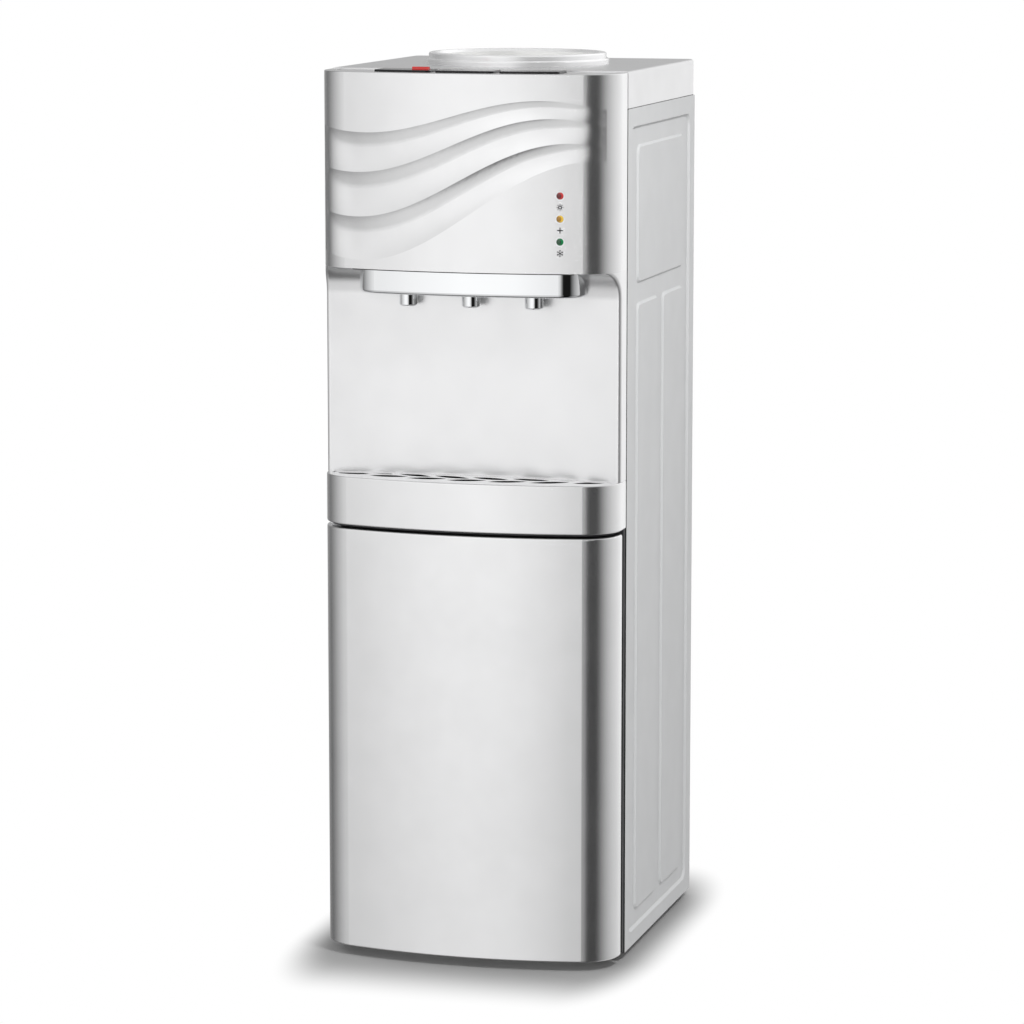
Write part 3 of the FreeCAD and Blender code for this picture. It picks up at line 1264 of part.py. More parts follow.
def tank_foam():
    """The insulation round the cold tank, with passages for the tubes."""
    outer = rod(FOAM_R, 0, SEAT_Y, FOAM_BOTTOM, TANK_TOP)
    made = outer.cut(rod(FOAM_BORE, 0, SEAT_Y, TANK_BOTTOM, TANK_TOP + OVERRUN))
    for x, y in cold_outlets():
        made = made.cut(rod(WATER_TUBE_R + TUBE_HOLE_PLAY, x, y, FOAM_BOTTOM - OVERRUN, TANK_BOTTOM + OVERRUN))
    start = V(-FOAM_R - OVERRUN, SEAT_Y, suction_z())
    return made.cut(Part.makeCylinder(LINE_R + FIT, FOAM_WALL + 2 * OVERRUN, start, X_AXIS))


def suction_z():
    """The height of the coil's outer side at the place where the suction line meets it."""
    return TANK_BOTTOM + COIL_LIFT + COIL_PITCH / 2


def evaporator():
    """The cooling tube wound round the cold tank."""
    return coil(0, SEAT_Y, TANK_BOTTOM + COIL_LIFT, COIL_R, COIL_PITCH, COIL_TURNS, COIL_TUBE_R)


def hot_tank():
    """The heated tank on its own stand ring."""
    body = rod(HOT_R, HOT_X, HOT_Y, HOT_BOTTOM, HOT_TOP)
    body = body.makeFillet(HOT_EDGE_R, edges_at_z(body, HOT_BOTTOM) + edges_at_z(body, HOT_TOP))
    stand = rod(STAND_R, HOT_X, HOT_Y, STAND_Z, HOT_BOTTOM + HOT_WALL)
    stand = stand.cut(rod(STAND_R - STAND_WALL, HOT_X, HOT_Y, STAND_Z - OVERRUN, HOT_BOTTOM + OVERRUN))
    inside = rod(HOT_R - HOT_WALL, HOT_X, HOT_Y, HOT_BOTTOM + HOT_WALL, HOT_TOP - HOT_WALL)
    rims = edges_at_z(inside, HOT_BOTTOM + HOT_WALL) + edges_at_z(inside, HOT_TOP - HOT_WALL)
    inside = inside.makeFillet(HOT_EDGE_R, rims)
    return fused([body, stand]).cut(inside)


def heater_band():
    """The clamped heater round the hot tank."""
    z0 = HOT_BOTTOM + BAND_LIFT
    outer = rod(HOT_R + FIT + BAND_WALL, HOT_X, HOT_Y, z0, z0 + BAND_HEIGHT)
    return outer.cut(rod(HOT_R + FIT, HOT_X, HOT_Y, z0 - OVERRUN, z0 + BAND_HEIGHT + OVERRUN))


def thermostats():
    """Two round thermostats on the hot tank."""
    x = HOT_X + THERMOSTAT_SHIFT
    return group([
        rod(THERMOSTAT_R, x, HOT_Y + sy * THERMOSTAT_SPREAD, HOT_TOP, HOT_TOP + THERMOSTAT_HEIGHT)
        for sy in (-1, 1)
    ])


def water_tubes():
    """Soft tubes from the tanks to the three valves, each in its own upright plane."""
    end_y = TAP_Y + SPIGOT_LENGTH
    made = []
    hot = [
        V(TAP_X[0], HOT_Y, HOT_TOP),
        V(TAP_X[0], HOT_Y, HOT_TOP + WATER_BEND + HOT_TUBE_RISE),
        V(TAP_X[0], TUBE_RUN_Y, HOT_TOP + WATER_BEND + HOT_TUBE_RISE),
        V(TAP_X[0], TUBE_RUN_Y, SPIGOT_Z),
        V(TAP_X[0], end_y, SPIGOT_Z),
    ]
    made.append(pipe(hot, WATER_TUBE_R, WATER_BEND))
    low = TANK_SHELF_Z - SHELF_LIP - COLD_TUBE_DROP
    for x, y in cold_outlets():
        cold = [V(x, y, TANK_BOTTOM), V(x, y, low), V(x, TUBE_RUN_Y, low), V(x, TUBE_RUN_Y, SPIGOT_Z),
                V(x, end_y, SPIGOT_Z)]
        made.append(pipe(cold, WATER_TUBE_R, WATER_BEND))
    return group(made)


def compressor():
    """The sealed compressor: a domed shell with a welded seam on a foot plate."""
    shell = rod(COMP_R, 0, COMP_Y, COMP_SHELL_BOTTOM, COMP_SHELL_TOP)
    shell = shell.makeFillet(COMP_DOME, edges_at_z(shell, COMP_SHELL_BOTTOM) + edges_at_z(shell, COMP_SHELL_TOP))
    middle = (COMP_SHELL_BOTTOM + COMP_SHELL_TOP) / 2
    seam = rod(COMP_R + COMP_SEAM, 0, COMP_Y, middle - COMP_SEAM_HEIGHT / 2, middle + COMP_SEAM_HEIGHT / 2)
    foot = plate(-COMP_FOOT_HALF, COMP_FOOT_HALF, COMP_Y - COMP_FOOT_REACH, COMP_Y + COMP_FOOT_REACH,
                 COMP_BOTTOM, COMP_SHELL_BOTTOM, COMP_FOOT_WIDTH / 2)
    return fused([shell, seam, foot])


def grommets():
    """Four rubber mounts between the compressor's foot plate and the pan."""
    made = []
    for sx in (-1, 1):
        for sy in (-1, 1):
            x = sx * (COMP_FOOT_HALF - COMP_FOOT_WIDTH / 2)
            y = COMP_Y + sy * (COMP_FOOT_REACH - COMP_FOOT_WIDTH / 2)
            made.append(rod(GROMMET_R, x, y, PAN_TOP, COMP_BOTTOM))
    return group(made)


def terminal_cover():
    """The plastic cover of the compressor's terminals, on its right side."""
    middle = (COMP_SHELL_BOTTOM + COMP_SHELL_TOP) / 2
    block = box(0, COMP_R + COMP_SEAM + TERMINAL_DEPTH, COMP_Y - TERMINAL_WIDTH / 2, COMP_Y + TERMINAL_WIDTH / 2,
                middle - TERMINAL_HEIGHT / 2, middle + TERMINAL_HEIGHT / 2)
    return block.cut(rod(COMP_R + COMP_SEAM + FIT, 0, COMP_Y, COMP_SHELL_BOTTOM, COMP_SHELL_TOP))


def condenser_tube():
    """The serpentine tube on the back, from its upper right end down to the drier."""

    def at(x, z):
        return V(x, COND_Y, z)

    edges = []
    for run in range(COND_RUNS):
        side = 1 if run % 2 == 0 else -1
        z = COND_TOP - run * COND_PITCH
        edges.append(line(at(side * COND_HALF, z), at(-side * COND_HALF, z)))
        if run < COND_RUNS - 1:
            turn = at(-side * (COND_HALF + COND_BEND), z - COND_BEND)
            edges.append(arc(at(-side * COND_HALF, z), turn, at(-side * COND_HALF, z - COND_PITCH)))
    inside = LINE_BEND * DIAGONAL_SHARE
    low = COND_BOTTOM - LINE_BEND
    edges.append(arc(at(-COND_HALF, COND_BOTTOM), at(DRIER_X + inside, COND_BOTTOM - inside), at(DRIER_X, low)))
    edges.append(line(at(DRIER_X, low), at(DRIER_X, low - DRIER_LEAD)))
    ring = Part.Wire([Part.Circle(at(COND_HALF, COND_TOP), X_AXIS, COND_TUBE_R).toShape()])
    return Part.Wire(edges).makePipeShell([ring], True, False)


def condenser_wires():
    """Upright wires on both sides of the serpentine."""
    made = []
    for side in (-1, 1):
        y = COND_Y + side * (COND_TUBE_R + WIRE_R)
        for step in range(WIRE_COUNT):
            x = (step - (WIRE_COUNT - 1) / 2) * WIRE_PITCH
            made.append(rod(WIRE_R, x, y, COND_BOTTOM - WIRE_OVERHANG, COND_TOP + WIRE_OVERHANG))
    return group(made)


def drier():
    """The copper filter drier below the end of the condenser."""
    top = COND_BOTTOM - LINE_BEND - DRIER_LEAD
    bottom = top - DRIER_LENGTH
    return fused([
        Part.makeCone(DRIER_R, COND_TUBE_R, DRIER_NECK, V(DRIER_X, COND_Y, top - DRIER_NECK)),
        rod(DRIER_R, DRIER_X, COND_Y, bottom + DRIER_NECK, top - DRIER_NECK),
        Part.makeCone(COND_TUBE_R, DRIER_R, DRIER_NECK, V(DRIER_X, COND_Y, bottom)),
    ])


def refrigerant_lines():
    """The discharge line up to the condenser and the suction line from the cold tank's coil."""
    bend_z = COMP_SHELL_TOP + LINE_RISE
    discharge = [
        V(LINE_SPREAD, COMP_Y, COMP_SHELL_TOP),
        V(LINE_SPREAD, COMP_Y, bend_z),
        V(LINE_SPREAD, COND_Y, bend_z),
        V(LINE_X, COND_Y, bend_z),
        V(LINE_X, COND_Y, COND_TOP),
        V(COND_HALF, COND_Y, COND_TOP),
    ]
    suction = [
        V(-LINE_SPREAD, COMP_Y, COMP_SHELL_TOP),
        V(-LINE_SPREAD, COMP_Y, bend_z),
        V(SUCTION_X, SUCTION_Y, bend_z),
        V(SUCTION_X, SUCTION_Y, suction_z()),
        V(SUCTION_X, SEAT_Y, suction_z()),
        V(-COIL_R - COIL_TUBE_R, SEAT_Y, suction_z()),
    ]
    return group([pipe(discharge, LINE_R, LINE_BEND), pipe(suction, LINE_R, LINE_BEND)])


def switch_housings():
    """Two framed switch bodies set in the back."""
    made = []
    for x in SWITCH_X:
        frame_x = SWITCH_WIDTH / 2 + SWITCH_FRAME
        frame_z = SWITCH_HEIGHT / 2 + SWITCH_FRAME
        body_x = SWITCH_WIDTH / 2 + SWITCH_FRAME / 2 - FIT
        body_z = SWITCH_HEIGHT / 2 + SWITCH_FRAME / 2 - FIT
        face_y = REAR_OUT_Y + SWITCH_FRAME_PLATE
        frame = box(x - frame_x, x + frame_x, REAR_OUT_Y, face_y, SWITCH_Z - frame_z, SWITCH_Z + frame_z)
        body = box(x - body_x, x + body_x, face_y - SWITCH_DEPTH, face_y, SWITCH_Z - body_z, SWITCH_Z + body_z)
        well = box(x - SWITCH_WIDTH / 2, x + SWITCH_WIDTH / 2, face_y - SWITCH_DEPTH + SWITCH_FRAME,
                   face_y + OVERRUN, SWITCH_Z - SWITCH_HEIGHT / 2, SWITCH_Z + SWITCH_HEIGHT / 2)
        reach = SWITCH_WIDTH / 2 - ROCKER_PLAY + ROCKER_PIN + FIT
        pivot = Part.makeCylinder(ROCKER_PIVOT_R + ROCKER_PIVOT_PLAY, 2 * reach,
                                  V(x - reach, rocker_y(), SWITCH_Z), X_AXIS)
        made.append(frame.fuse(body).cut(well).cut(pivot).removeSplitter())
    return group(made)


def rocker_y():
    """The depth of the rockers' pivot line."""
    return REAR_OUT_Y + SWITCH_FRAME_PLATE + ROCKER_RISE - ROCKER_R


def rocker(x):
    """A rocker with a round crown on a pivot, drawn in its off position."""
    half_x = SWITCH_WIDTH / 2 - ROCKER_PLAY
    half_z = SWITCH_HEIGHT / 2 - ROCKER_END_PLAY
    crown = Part.makeCylinder(ROCKER_R, 2 * half_x, V(x - half_x, rocker_y(), SWITCH_Z), X_AXIS)
    keep = box(x - half_x, x + half_x, rocker_y() - ROCKER_BELOW, rocker_y() + ROCKER_R,
               SWITCH_Z - half_z, SWITCH_Z + half_z)
    reach = half_x + ROCKER_PIN
    pivot = Part.makeCylinder(ROCKER_PIVOT_R, 2 * reach, V(x - reach, rocker_y(), SWITCH_Z), X_AXIS)
    made = fused([crown.common(keep), pivot])
    made.rotate(V(x, rocker_y(), SWITCH_Z), X_AXIS, -ROCKER_TILT)
    return made


def drain_outlet():
    """The drain spout of the hot tank on the back."""
    flange = rod_back(DRAIN_FLANGE_R, DRAIN_X, REAR_OUT_Y, REAR_OUT_Y + DRAIN_FLANGE, DRAIN_Z)
    spout_ = rod_back(DRAIN_R, DRAIN_X, REAR_Y - DRAIN_LENGTH, REAR_OUT_Y + DRAIN_FLANGE + DRAIN_LENGTH, DRAIN_Z)
    bore = rod_back(DRAIN_R - DRAIN_CAP_WALL, DRAIN_X, REAR_Y - DRAIN_LENGTH - OVERRUN,
                    REAR_OUT_Y + DRAIN_FLANGE + DRAIN_LENGTH + OVERRUN, DRAIN_Z)
    return fused([flange, spout_]).cut(bore)


def drain_cap():
    """The ribbed cap that screws over the drain."""
    y0 = REAR_OUT_Y + DRAIN_FLANGE + DRAIN_PLAY
    y1 = y0 + DRAIN_CAP_LENGTH
    made = rod_back(DRAIN_CAP_R, DRAIN_X, y0, y1, DRAIN_Z)
    ribs = []
    for step in range(DRAIN_CAP_RIBS):
        angle = 2 * math.pi * step / DRAIN_CAP_RIBS
        x = DRAIN_X + DRAIN_CAP_R * math.cos(angle)
        ribs.append(rod_back(DRAIN_RIB_R, x, y0, y1, DRAIN_Z + DRAIN_CAP_R * math.sin(angle)))
    made = fused([made, *ribs])
    return made.cut(rod_back(DRAIN_R + DRAIN_PLAY, DRAIN_X, y0 - OVERRUN, y1 - DRAIN_CAP_WALL / 2, DRAIN_Z))


def cord_gland():
    """The strain relief that the mains cord enters by."""
    flange = rod_back(GLAND_FLANGE_R, GLAND_X, REAR_OUT_Y, REAR_OUT_Y + GLAND_FLANGE, GLAND_Z)
    inside = rod_back(GLAND_R, GLAND_X, REAR_Y - GLAND_FLANGE, REAR_OUT_Y, GLAND_Z)
    sleeve = Part.makeCone(GLAND_R, GLAND_R - GLAND_TAPER, GLAND_LENGTH,
                           V(GLAND_X, REAR_OUT_Y + GLAND_FLANGE, GLAND_Z), Y_AXIS)
    bore = rod_back(GLAND_BORE, GLAND_X, REAR_Y - GLAND_FLANGE - OVERRUN,
                    REAR_OUT_Y + GLAND_FLANGE + GLAND_LENGTH + OVERRUN, GLAND_Z)
    return fused([flange, inside, sleeve]).cut(bore)


def build():
    """Every node of the dispenser by name."""
    right = side_panel()
    left = right.mirror(ORIGIN, X_AXIS)
    tube_holes = [(x, y, WATER_TUBE_R + TUBE_HOLE_PLAY) for x, y in cold_outlets()]
    parts = {
        "side_panel_right": right,
        "side_panel_left": left,
        "base_pan": base_pan(),
        "feet": feet(),
        "rear_panel": rear_panel(),
        "fascia": fascia(),
        "bay_panel": bay_panel(),
        "apron": apron(),
        "drip_tray": drip_tray(),
        "drip_grille": drip_grille(),
        "tap_bar": tap_bar(),
        "tap_valves": valves(),
        "top_cap": top_cap(),
        "bottle_seat": bottle_seat(),
        "seat_funnel": seat_funnel(),
        "feed_probe": feed_probe(),
        "lamp_bezels": lamp_bezels(),
        "lamp_board": lamp_board(),
        "key_carrier": key_carrier(),
        "child_lock": child_lock(),
        "door_skin": door_skin(),
        "door_panel": door_panel(),
        "door_frame": door_frame(),
        "door_seal": door_seal(),
        "hinge_brackets": hinge_brackets(),
        "door_catch": catch_block(DOOR_BACK + STRIKE_PLATE + CATCH_GAP, FRAME_Y),
        "strike_plate": catch_block(DOOR_BACK, DOOR_BACK + STRIKE_PLATE),
        "storage_liner": storage_liner(),
        "mid_shelf": shelf(MID_SHELF_Z, SEAM_Y + SHEET, []),
        "tank_shelf": shelf(TANK_SHELF_Z, SEAM_Y + SHEET + TUBE_DUCT, tube_holes),
        "cold_tank": cold_tank(),
        "tank_foam": tank_foam(),
        "evaporator": evaporator(),
        "hot_tank": hot_tank(),
        "heater_band": heater_band(),
        "thermostats": thermostats(),
        "water_tubes": water_tubes(),
        "compressor": compressor(),
        "compressor_mounts": grommets(),
        "terminal_cover": terminal_cover(),
        "condenser_tube": condenser_tube(),
        "condenser_wires": condenser_wires(),
        "filter_drier": drier(),
        "refrigerant_lines": refrigerant_lines(),
        "switch_housings": switch_housings(),
        "rocker_heat": rocker(SWITCH_X[0]),
        "rocker_cool": rocker(SWITCH_X[1]),
        "drain_outlet": drain_outlet(),
        "drain_cap": drain_cap(),
        "cord_gland": cord_gland(),
        "spouts": group([spout(x) for x in TAP_X]),
    }
    for x, key_name in zip(TAP_X, KEY_NAMES):
        parts[f"key_{key_name}"] = press_key(x)
        parts[f"spring_{key_name}"] = key_spring(x)
    for z, lamp_name in zip(LAMP_Z, LAMP_NAMES):
        parts[f"lamp_{lamp_name}"] = lamp_lens(z)
    return parts


os.makedirs("parts", exist_ok=True)
for name, shape in build().items():
    shape.exportStep(f"parts/{name}.step")
    print(name, len(shape.Solids), round(shape.Volume / 1000, 1), "cm3", shape.isValid())
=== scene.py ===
# %% [markdown]
# # A water dispenser, dressed for its portrait
# The cabinet, the door, the taps and all the other rigid pieces come from the CAD frame, in metres
# and already in place. This lesson gives each of them a finish, adds the small pieces that are
# easier to model by hand, and lights the dispenser as a studio would.

import math

import bpy
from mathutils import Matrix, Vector


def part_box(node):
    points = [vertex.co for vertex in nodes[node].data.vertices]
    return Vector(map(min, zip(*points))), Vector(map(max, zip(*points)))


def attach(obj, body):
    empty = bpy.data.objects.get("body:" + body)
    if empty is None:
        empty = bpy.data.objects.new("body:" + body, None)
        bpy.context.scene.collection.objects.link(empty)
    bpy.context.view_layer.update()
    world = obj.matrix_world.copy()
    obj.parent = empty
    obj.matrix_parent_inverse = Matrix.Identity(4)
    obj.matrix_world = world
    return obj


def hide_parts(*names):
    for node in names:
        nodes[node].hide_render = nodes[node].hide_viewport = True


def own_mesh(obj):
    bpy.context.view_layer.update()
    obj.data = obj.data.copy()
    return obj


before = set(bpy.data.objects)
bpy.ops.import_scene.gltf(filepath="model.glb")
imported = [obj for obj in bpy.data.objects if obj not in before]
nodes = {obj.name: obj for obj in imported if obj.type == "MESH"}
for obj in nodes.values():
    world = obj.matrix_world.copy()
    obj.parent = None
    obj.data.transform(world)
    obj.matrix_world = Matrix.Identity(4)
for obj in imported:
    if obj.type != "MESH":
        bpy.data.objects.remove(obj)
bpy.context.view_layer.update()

# %% [markdown]
# ## Finishes
# Nearly every surface of the dispenser is a moulding, a paint or a metal. None of them is one flat
# colour: the tone drifts a little from place to place, the gloss is uneven, and the skin has a fine
# grain that only shows where light grazes it. One helper builds that from noise in Object
# coordinates, so the pattern is fixed to the piece, and each finish then says how strong each
# effect is.

# %% A helper for moulded, painted and metal surfaces
NOISE_LOW = 0.3
NOISE_HIGH = 0.7
GRAIN_DEPTH = 0.0002


def new_finish(name):
    """An empty node material with its shader and its coordinates."""
    material = bpy.data.materials.new(name)
    material.use_nodes = True
    tree = material.node_tree
    shader = tree.nodes["Principled BSDF"]
    place = tree.nodes.new("ShaderNodeTexCoord")
    return material, tree, shader, place


def noise(tree, place, scale, detail, stretch=(1, 1, 1)):
    """Noise in Object coordinates; a larger stretch packs it closer along that axis."""
    mapping = tree.nodes.new("ShaderNodeMapping")
    mapping.inputs["Scale"].default_value = stretch
    tree.links.new(place.outputs["Object"], mapping.inputs["Vector"])
    texture = tree.nodes.new("ShaderNodeTexNoise")
    texture.inputs["Scale"].default_value = scale
    texture.inputs["Detail"].default_value = detail
    tree.links.new(mapping.outputs["Vector"], texture.inputs["Vector"])
    return texture


def between(tree, source, low, high):
    """Spreads a noise value over a range of its own."""
    spread = tree.nodes.new("ShaderNodeMapRange")
    spread.inputs["From Min"].default_value = NOISE_LOW
    spread.inputs["From Max"].default_value = NOISE_HIGH
    spread.inputs["To Min"].default_value = low
    spread.inputs["To Max"].default_value = high
    tree.links.new(source, spread.inputs["Value"])
    return spread.outputs["Result"]


def finish(name, colour, drift=0.04, drift_scale=7, gloss=(0.3, 0.4), gloss_scale=30,
           metallic=0.0, grain=0.0, grain_scale=900, stretch=(1, 1, 1), coat=0.0):
    """A surface with drifting tone, uneven gloss and a fine grain."""
    material, tree, shader, place = new_finish(name)
    tone = noise(tree, place, drift_scale, detail=4, stretch=stretch)
    ramp = tree.nodes.new("ShaderNodeValToRGB")
    dark, light = ramp.color_ramp.elements
    dark.position = NOISE_LOW
    light.position = NOISE_HIGH
    dark.color = (*[c * (1 - drift) for c in colour], 1)
    light.color = (*[min(1, c * (1 + drift)) for c in colour], 1)
    tree.links.new(tone.outputs["Fac"], ramp.inputs["Fac"])
    tree.links.new(ramp.outputs["Color"], shader.inputs["Base Color"])
    sheen = noise(tree, place, gloss_scale, detail=3, stretch=stretch)
    tree.links.new(between(tree, sheen.outputs["Fac"], *gloss), shader.inputs["Roughness"])
    shader.inputs["Metallic"].default_value = metallic
    shader.inputs["Coat Weight"].default_value = coat
    if grain:
        skin = noise(tree, place, grain_scale, detail=2, stretch=stretch)
        bump = tree.nodes.new("ShaderNodeBump")
        bump.inputs["Strength"].default_value = grain
        bump.inputs["Distance"].default_value = GRAIN_DEPTH
        tree.links.new(skin.outputs["Fac"], bump.inputs["Height"])
        tree.links.new(bump.outputs["Normal"], shader.inputs["Normal"])
    return material


def wear(material, *names):
    """Puts a finish on CAD nodes by name."""
    for name in names:
        mesh = nodes[name].data
        mesh.materials.clear()
        mesh.materials.append(material)
    print(material.name, "->", ", ".join(names))


# %% [markdown]
# ## Two colours on one piece
# Some pieces change colour at a line, and here that line is always painted shade: a black band
# where a seam or a hole lies in shadow. The shader compares one coordinate with a limit and picks
# the colour. That takes a step of arithmetic and a blend. Each of them has a small helper, whose
# inputs can be sockets or constants.

# %% Shader steps, and a colour below a limit
# The black of every painted shade band below.
PAINTED_SHADE_BLACK = (0.02, 0.02, 0.02)


def feed(tree, socket, value):
    """Links a socket to another one, or sets its constant."""
    if isinstance(value, bpy.types.NodeSocket):
        tree.links.new(value, socket)
    else:
        socket.default_value = value


def number_step(tree, operation, first, second):
    """One step of arithmetic on two numbers."""
    step = tree.nodes.new("ShaderNodeMath")
    step.operation = operation
    feed(tree, step.inputs[0], first)
    feed(tree, step.inputs[1], second)
    return step.outputs["Value"]


def colour_mix(tree, factor, first, second):
    """A blend of two colours."""
    blend = tree.nodes.new("ShaderNodeMix")
    blend.data_type = "RGBA"
    tree.links.new(factor, blend.inputs["Factor"])
    for name, colour in (("A", first), ("B", second)):
        linked = isinstance(colour, bpy.types.NodeSocket)
        feed(tree, blend.inputs[name], colour if linked else (*colour, 1))
    return blend.outputs["Result"]


def recolour(material, axis, limit, colour):
    """Gives another colour to what lies below a limit along one axis of the object."""
    tree = material.node_tree
    base = tree.nodes["Principled BSDF"].inputs["Base Color"]
    axes = tree.nodes.new("ShaderNodeSeparateXYZ")
    tree.links.new(tree.nodes["Texture Coordinate"].outputs["Object"], axes.inputs["Vector"])
    under = number_step(tree, "LESS_THAN", axes.outputs[axis], limit)
    tree.links.new(colour_mix(tree, under, base.links[0].from_socket, colour), base)


# %% [markdown]
# ## The silver front
# The fascia, the drip shelf and the door are one family: plastic sprayed with a satin silver
# lacquer. The paint holds tiny metal flakes, so it reflects softly like metal and still looks pale.
# An almost fully metallic shader with a satin roughness does that. The bay wall is paler and more
# matt. Below its upper face the drip grille is painted black, a painted shade that keeps the walls
# of its holes dark. Along the cap's lower edge runs a thin painted black line, a painted shade for
# its seam with the side panel.

# %% Silver and pale mouldings
CAP_SEAM_SHADE = 0.0009
HOLE_SHADE_DEPTH = 0.0005

silver = finish("silver_lacquer", (0.80, 0.80, 0.805), drift=0.015, drift_scale=30,
                gloss=(0.21, 0.25), gloss_scale=12, metallic=0.95, grain=0.015, grain_scale=1200)
pale_bay = finish("bay_moulding", (0.82, 0.82, 0.825), drift=0.012, drift_scale=9,
                  gloss=(0.28, 0.33), metallic=0.86, grain=0.02, grain_scale=1400)
pale_cap = finish("cap_moulding", (0.76, 0.76, 0.765), drift=0.015, drift_scale=8,
                  gloss=(0.30, 0.36), metallic=0.9, grain=0.02, grain_scale=1400)
# Painted shade: a thin black line along the cap's lower edge, for its seam with the side panel.
recolour(pale_cap, "Z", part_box("top_cap")[0][2] + CAP_SEAM_SHADE, PAINTED_SHADE_BLACK)
ring_silver = finish("collar_silver", (0.86, 0.86, 0.865), drift=0.015, drift_scale=40,
                     gloss=(0.20, 0.26), metallic=0.55, grain=0.015, grain_scale=1400)
grille_silver = finish("grille_silver", (0.82, 0.82, 0.825), drift=0.015, drift_scale=40,
                       gloss=(0.18, 0.24), metallic=0.8, grain=0.015, grain_scale=1400)
# Painted shade: black below the grille's upper face, so the walls of its holes read dark.
recolour(grille_silver, "Z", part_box("drip_grille")[1][2] - HOLE_SHADE_DEPTH, PAINTED_SHADE_BLACK)
wear(silver, "fascia", "apron", "door_skin")
wear(pale_bay, "bay_panel")
wear(pale_cap, "top_cap")
wear(ring_silver, "bottle_seat")
wear(grille_silver, "drip_grille")

# %% [markdown]
# ## Painted and plated steel
# The side panels are powder-coated: the coat settles into an even orange-peel skin. Their front
# fold is painted black in a thin strip, a painted shade for the dark seam against the front
# mouldings. The pan, the shelves and the back are zinc-plated sheet, where the zinc freezes into
# pale and dark crystals called spangle. A Voronoi texture draws cells like those, so the zinc
# finish is built from it.

# %% Powder coat and zinc
FOLD_SEAM_SHADE = 0.0003
SPANGLE_SCALE = 70
SPANGLE_BLUE = 1.02
SPANGLE_GLOSS = (0.34, 0.44)

side_paint = finish("side_powder_coat", (0.54, 0.545, 0.55), drift=0.012, drift_scale=5,
                    gloss=(0.42, 0.50), grain=0.20, grain_scale=700)
# Painted shade: a thin black strip on the panels' front fold, for the seam against the front
# mouldings.
recolour(side_paint, "Y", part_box("side_panel_right")[0][1] + FOLD_SEAM_SHADE, PAINTED_SHADE_BLACK)
wear(side_paint, "side_panel_right", "side_panel_left")


def zinc_sheet(name, dark, light):
    """Plated sheet: crystals of two tones with their own gloss."""
    material, tree, shader, place = new_finish(name)
    spangle = tree.nodes.new("ShaderNodeTexVoronoi")
    spangle.inputs["Scale"].default_value = SPANGLE_SCALE
    tree.links.new(place.outputs["Object"], spangle.inputs["Vector"])
    ramp = tree.nodes.new("ShaderNodeValToRGB")
    for element, tone in zip(ramp.color_ramp.elements, (dark, light)):
        element.color = (tone, tone, tone * SPANGLE_BLUE, 1)
    split = tree.nodes.new("ShaderNodeSeparateColor")
    tree.links.new(spangle.outputs["Color"], split.inputs["Color"])
    tree.links.new(split.outputs["Red"], ramp.inputs["Fac"])
    tree.links.new(ramp.outputs["Color"], shader.inputs["Base Color"])
    gloss = between(tree, split.outputs["Green"], *SPANGLE_GLOSS)
    tree.links.new(gloss, shader.inputs["Roughness"])
    shader.inputs["Metallic"].default_value = 0.9
    return material


zinc = zinc_sheet("zinc_plated_sheet", 0.47, 0.56)
wear(zinc, "base_pan", "rear_panel", "mid_shelf", "tank_shelf")

# %% [markdown]
# ## Chrome, black and red
# The tap bar and the spouts are chromed plastic: a mirror with faint smudges. The press keys are
# polished black with a weak reflection of their own. Frames, tray and switch bodies are matt black
# with the fine texture that a spark-eroded mould leaves.

# %% Chrome and dark plastics
chrome = finish("chrome_plate", (0.83, 0.84, 0.85), drift=0.01, gloss=(0.04, 0.09),
                gloss_scale=18, metallic=1.0)
key_black = finish("key_gloss_black", (0.008, 0.008, 0.009), drift=0.10, gloss=(0.12, 0.18),
                   gloss_scale=40)
key_black.node_tree.nodes["Principled BSDF"].inputs["Specular IOR Level"].default_value = 0.3
matt_black = finish("matt_black_moulding", (0.022, 0.022, 0.024), drift=0.12, drift_scale=40,
                    gloss=(0.50, 0.62), grain=0.25, grain_scale=1500)
lock_red = finish("lock_red", (0.46, 0.02, 0.018), drift=0.05, drift_scale=60,
                  gloss=(0.22, 0.30), coat=0.3)
rocker_red = finish("rocker_red", (0.55, 0.02, 0.015), drift=0.05, drift_scale=60,
                    gloss=(0.25, 0.32), coat=0.3)
rocker_green = finish("rocker_green", (0.02, 0.28, 0.07), drift=0.05, drift_scale=60,
                      gloss=(0.25, 0.32), coat=0.3)
off_white = finish("off_white_moulding", (0.72, 0.72, 0.69), drift=0.02, drift_scale=10,
                   gloss=(0.42, 0.52), grain=0.08, grain_scale=1600)
rubber = finish("dark_rubber", (0.03, 0.03, 0.03), drift=0.20, drift_scale=90,
                gloss=(0.68, 0.82), grain=0.3, grain_scale=1300)
wear(chrome, "tap_bar", "spouts", "lamp_bezels")
wear(key_black, "key_hot", "key_warm", "key_cold")
wear(matt_black, "door_frame", "drip_tray", "door_catch", "switch_housings", "thermostats",
     "terminal_cover")
wear(lock_red, "child_lock")
wear(rocker_red, "rocker_heat")
wear(rocker_green, "rocker_cool")
wear(off_white, "door_panel", "storage_liner", "key_carrier", "tap_valves", "seat_funnel",
     "feed_probe", "drain_outlet", "drain_cap")
wear(rubber, "feet", "door_seal", "compressor_mounts", "cord_gland")

# %% [markdown]
# ## Machinery finishes
# Behind the front the pieces keep the colours of their trade: drawn stainless tanks with fine lines
# round them, bare copper that has begun to darken, satin black enamel on the compressor and the
# condenser, cream foam and milky silicone tube. The drawn lines come from noise packed closely
# along Z, so they run round the tanks.

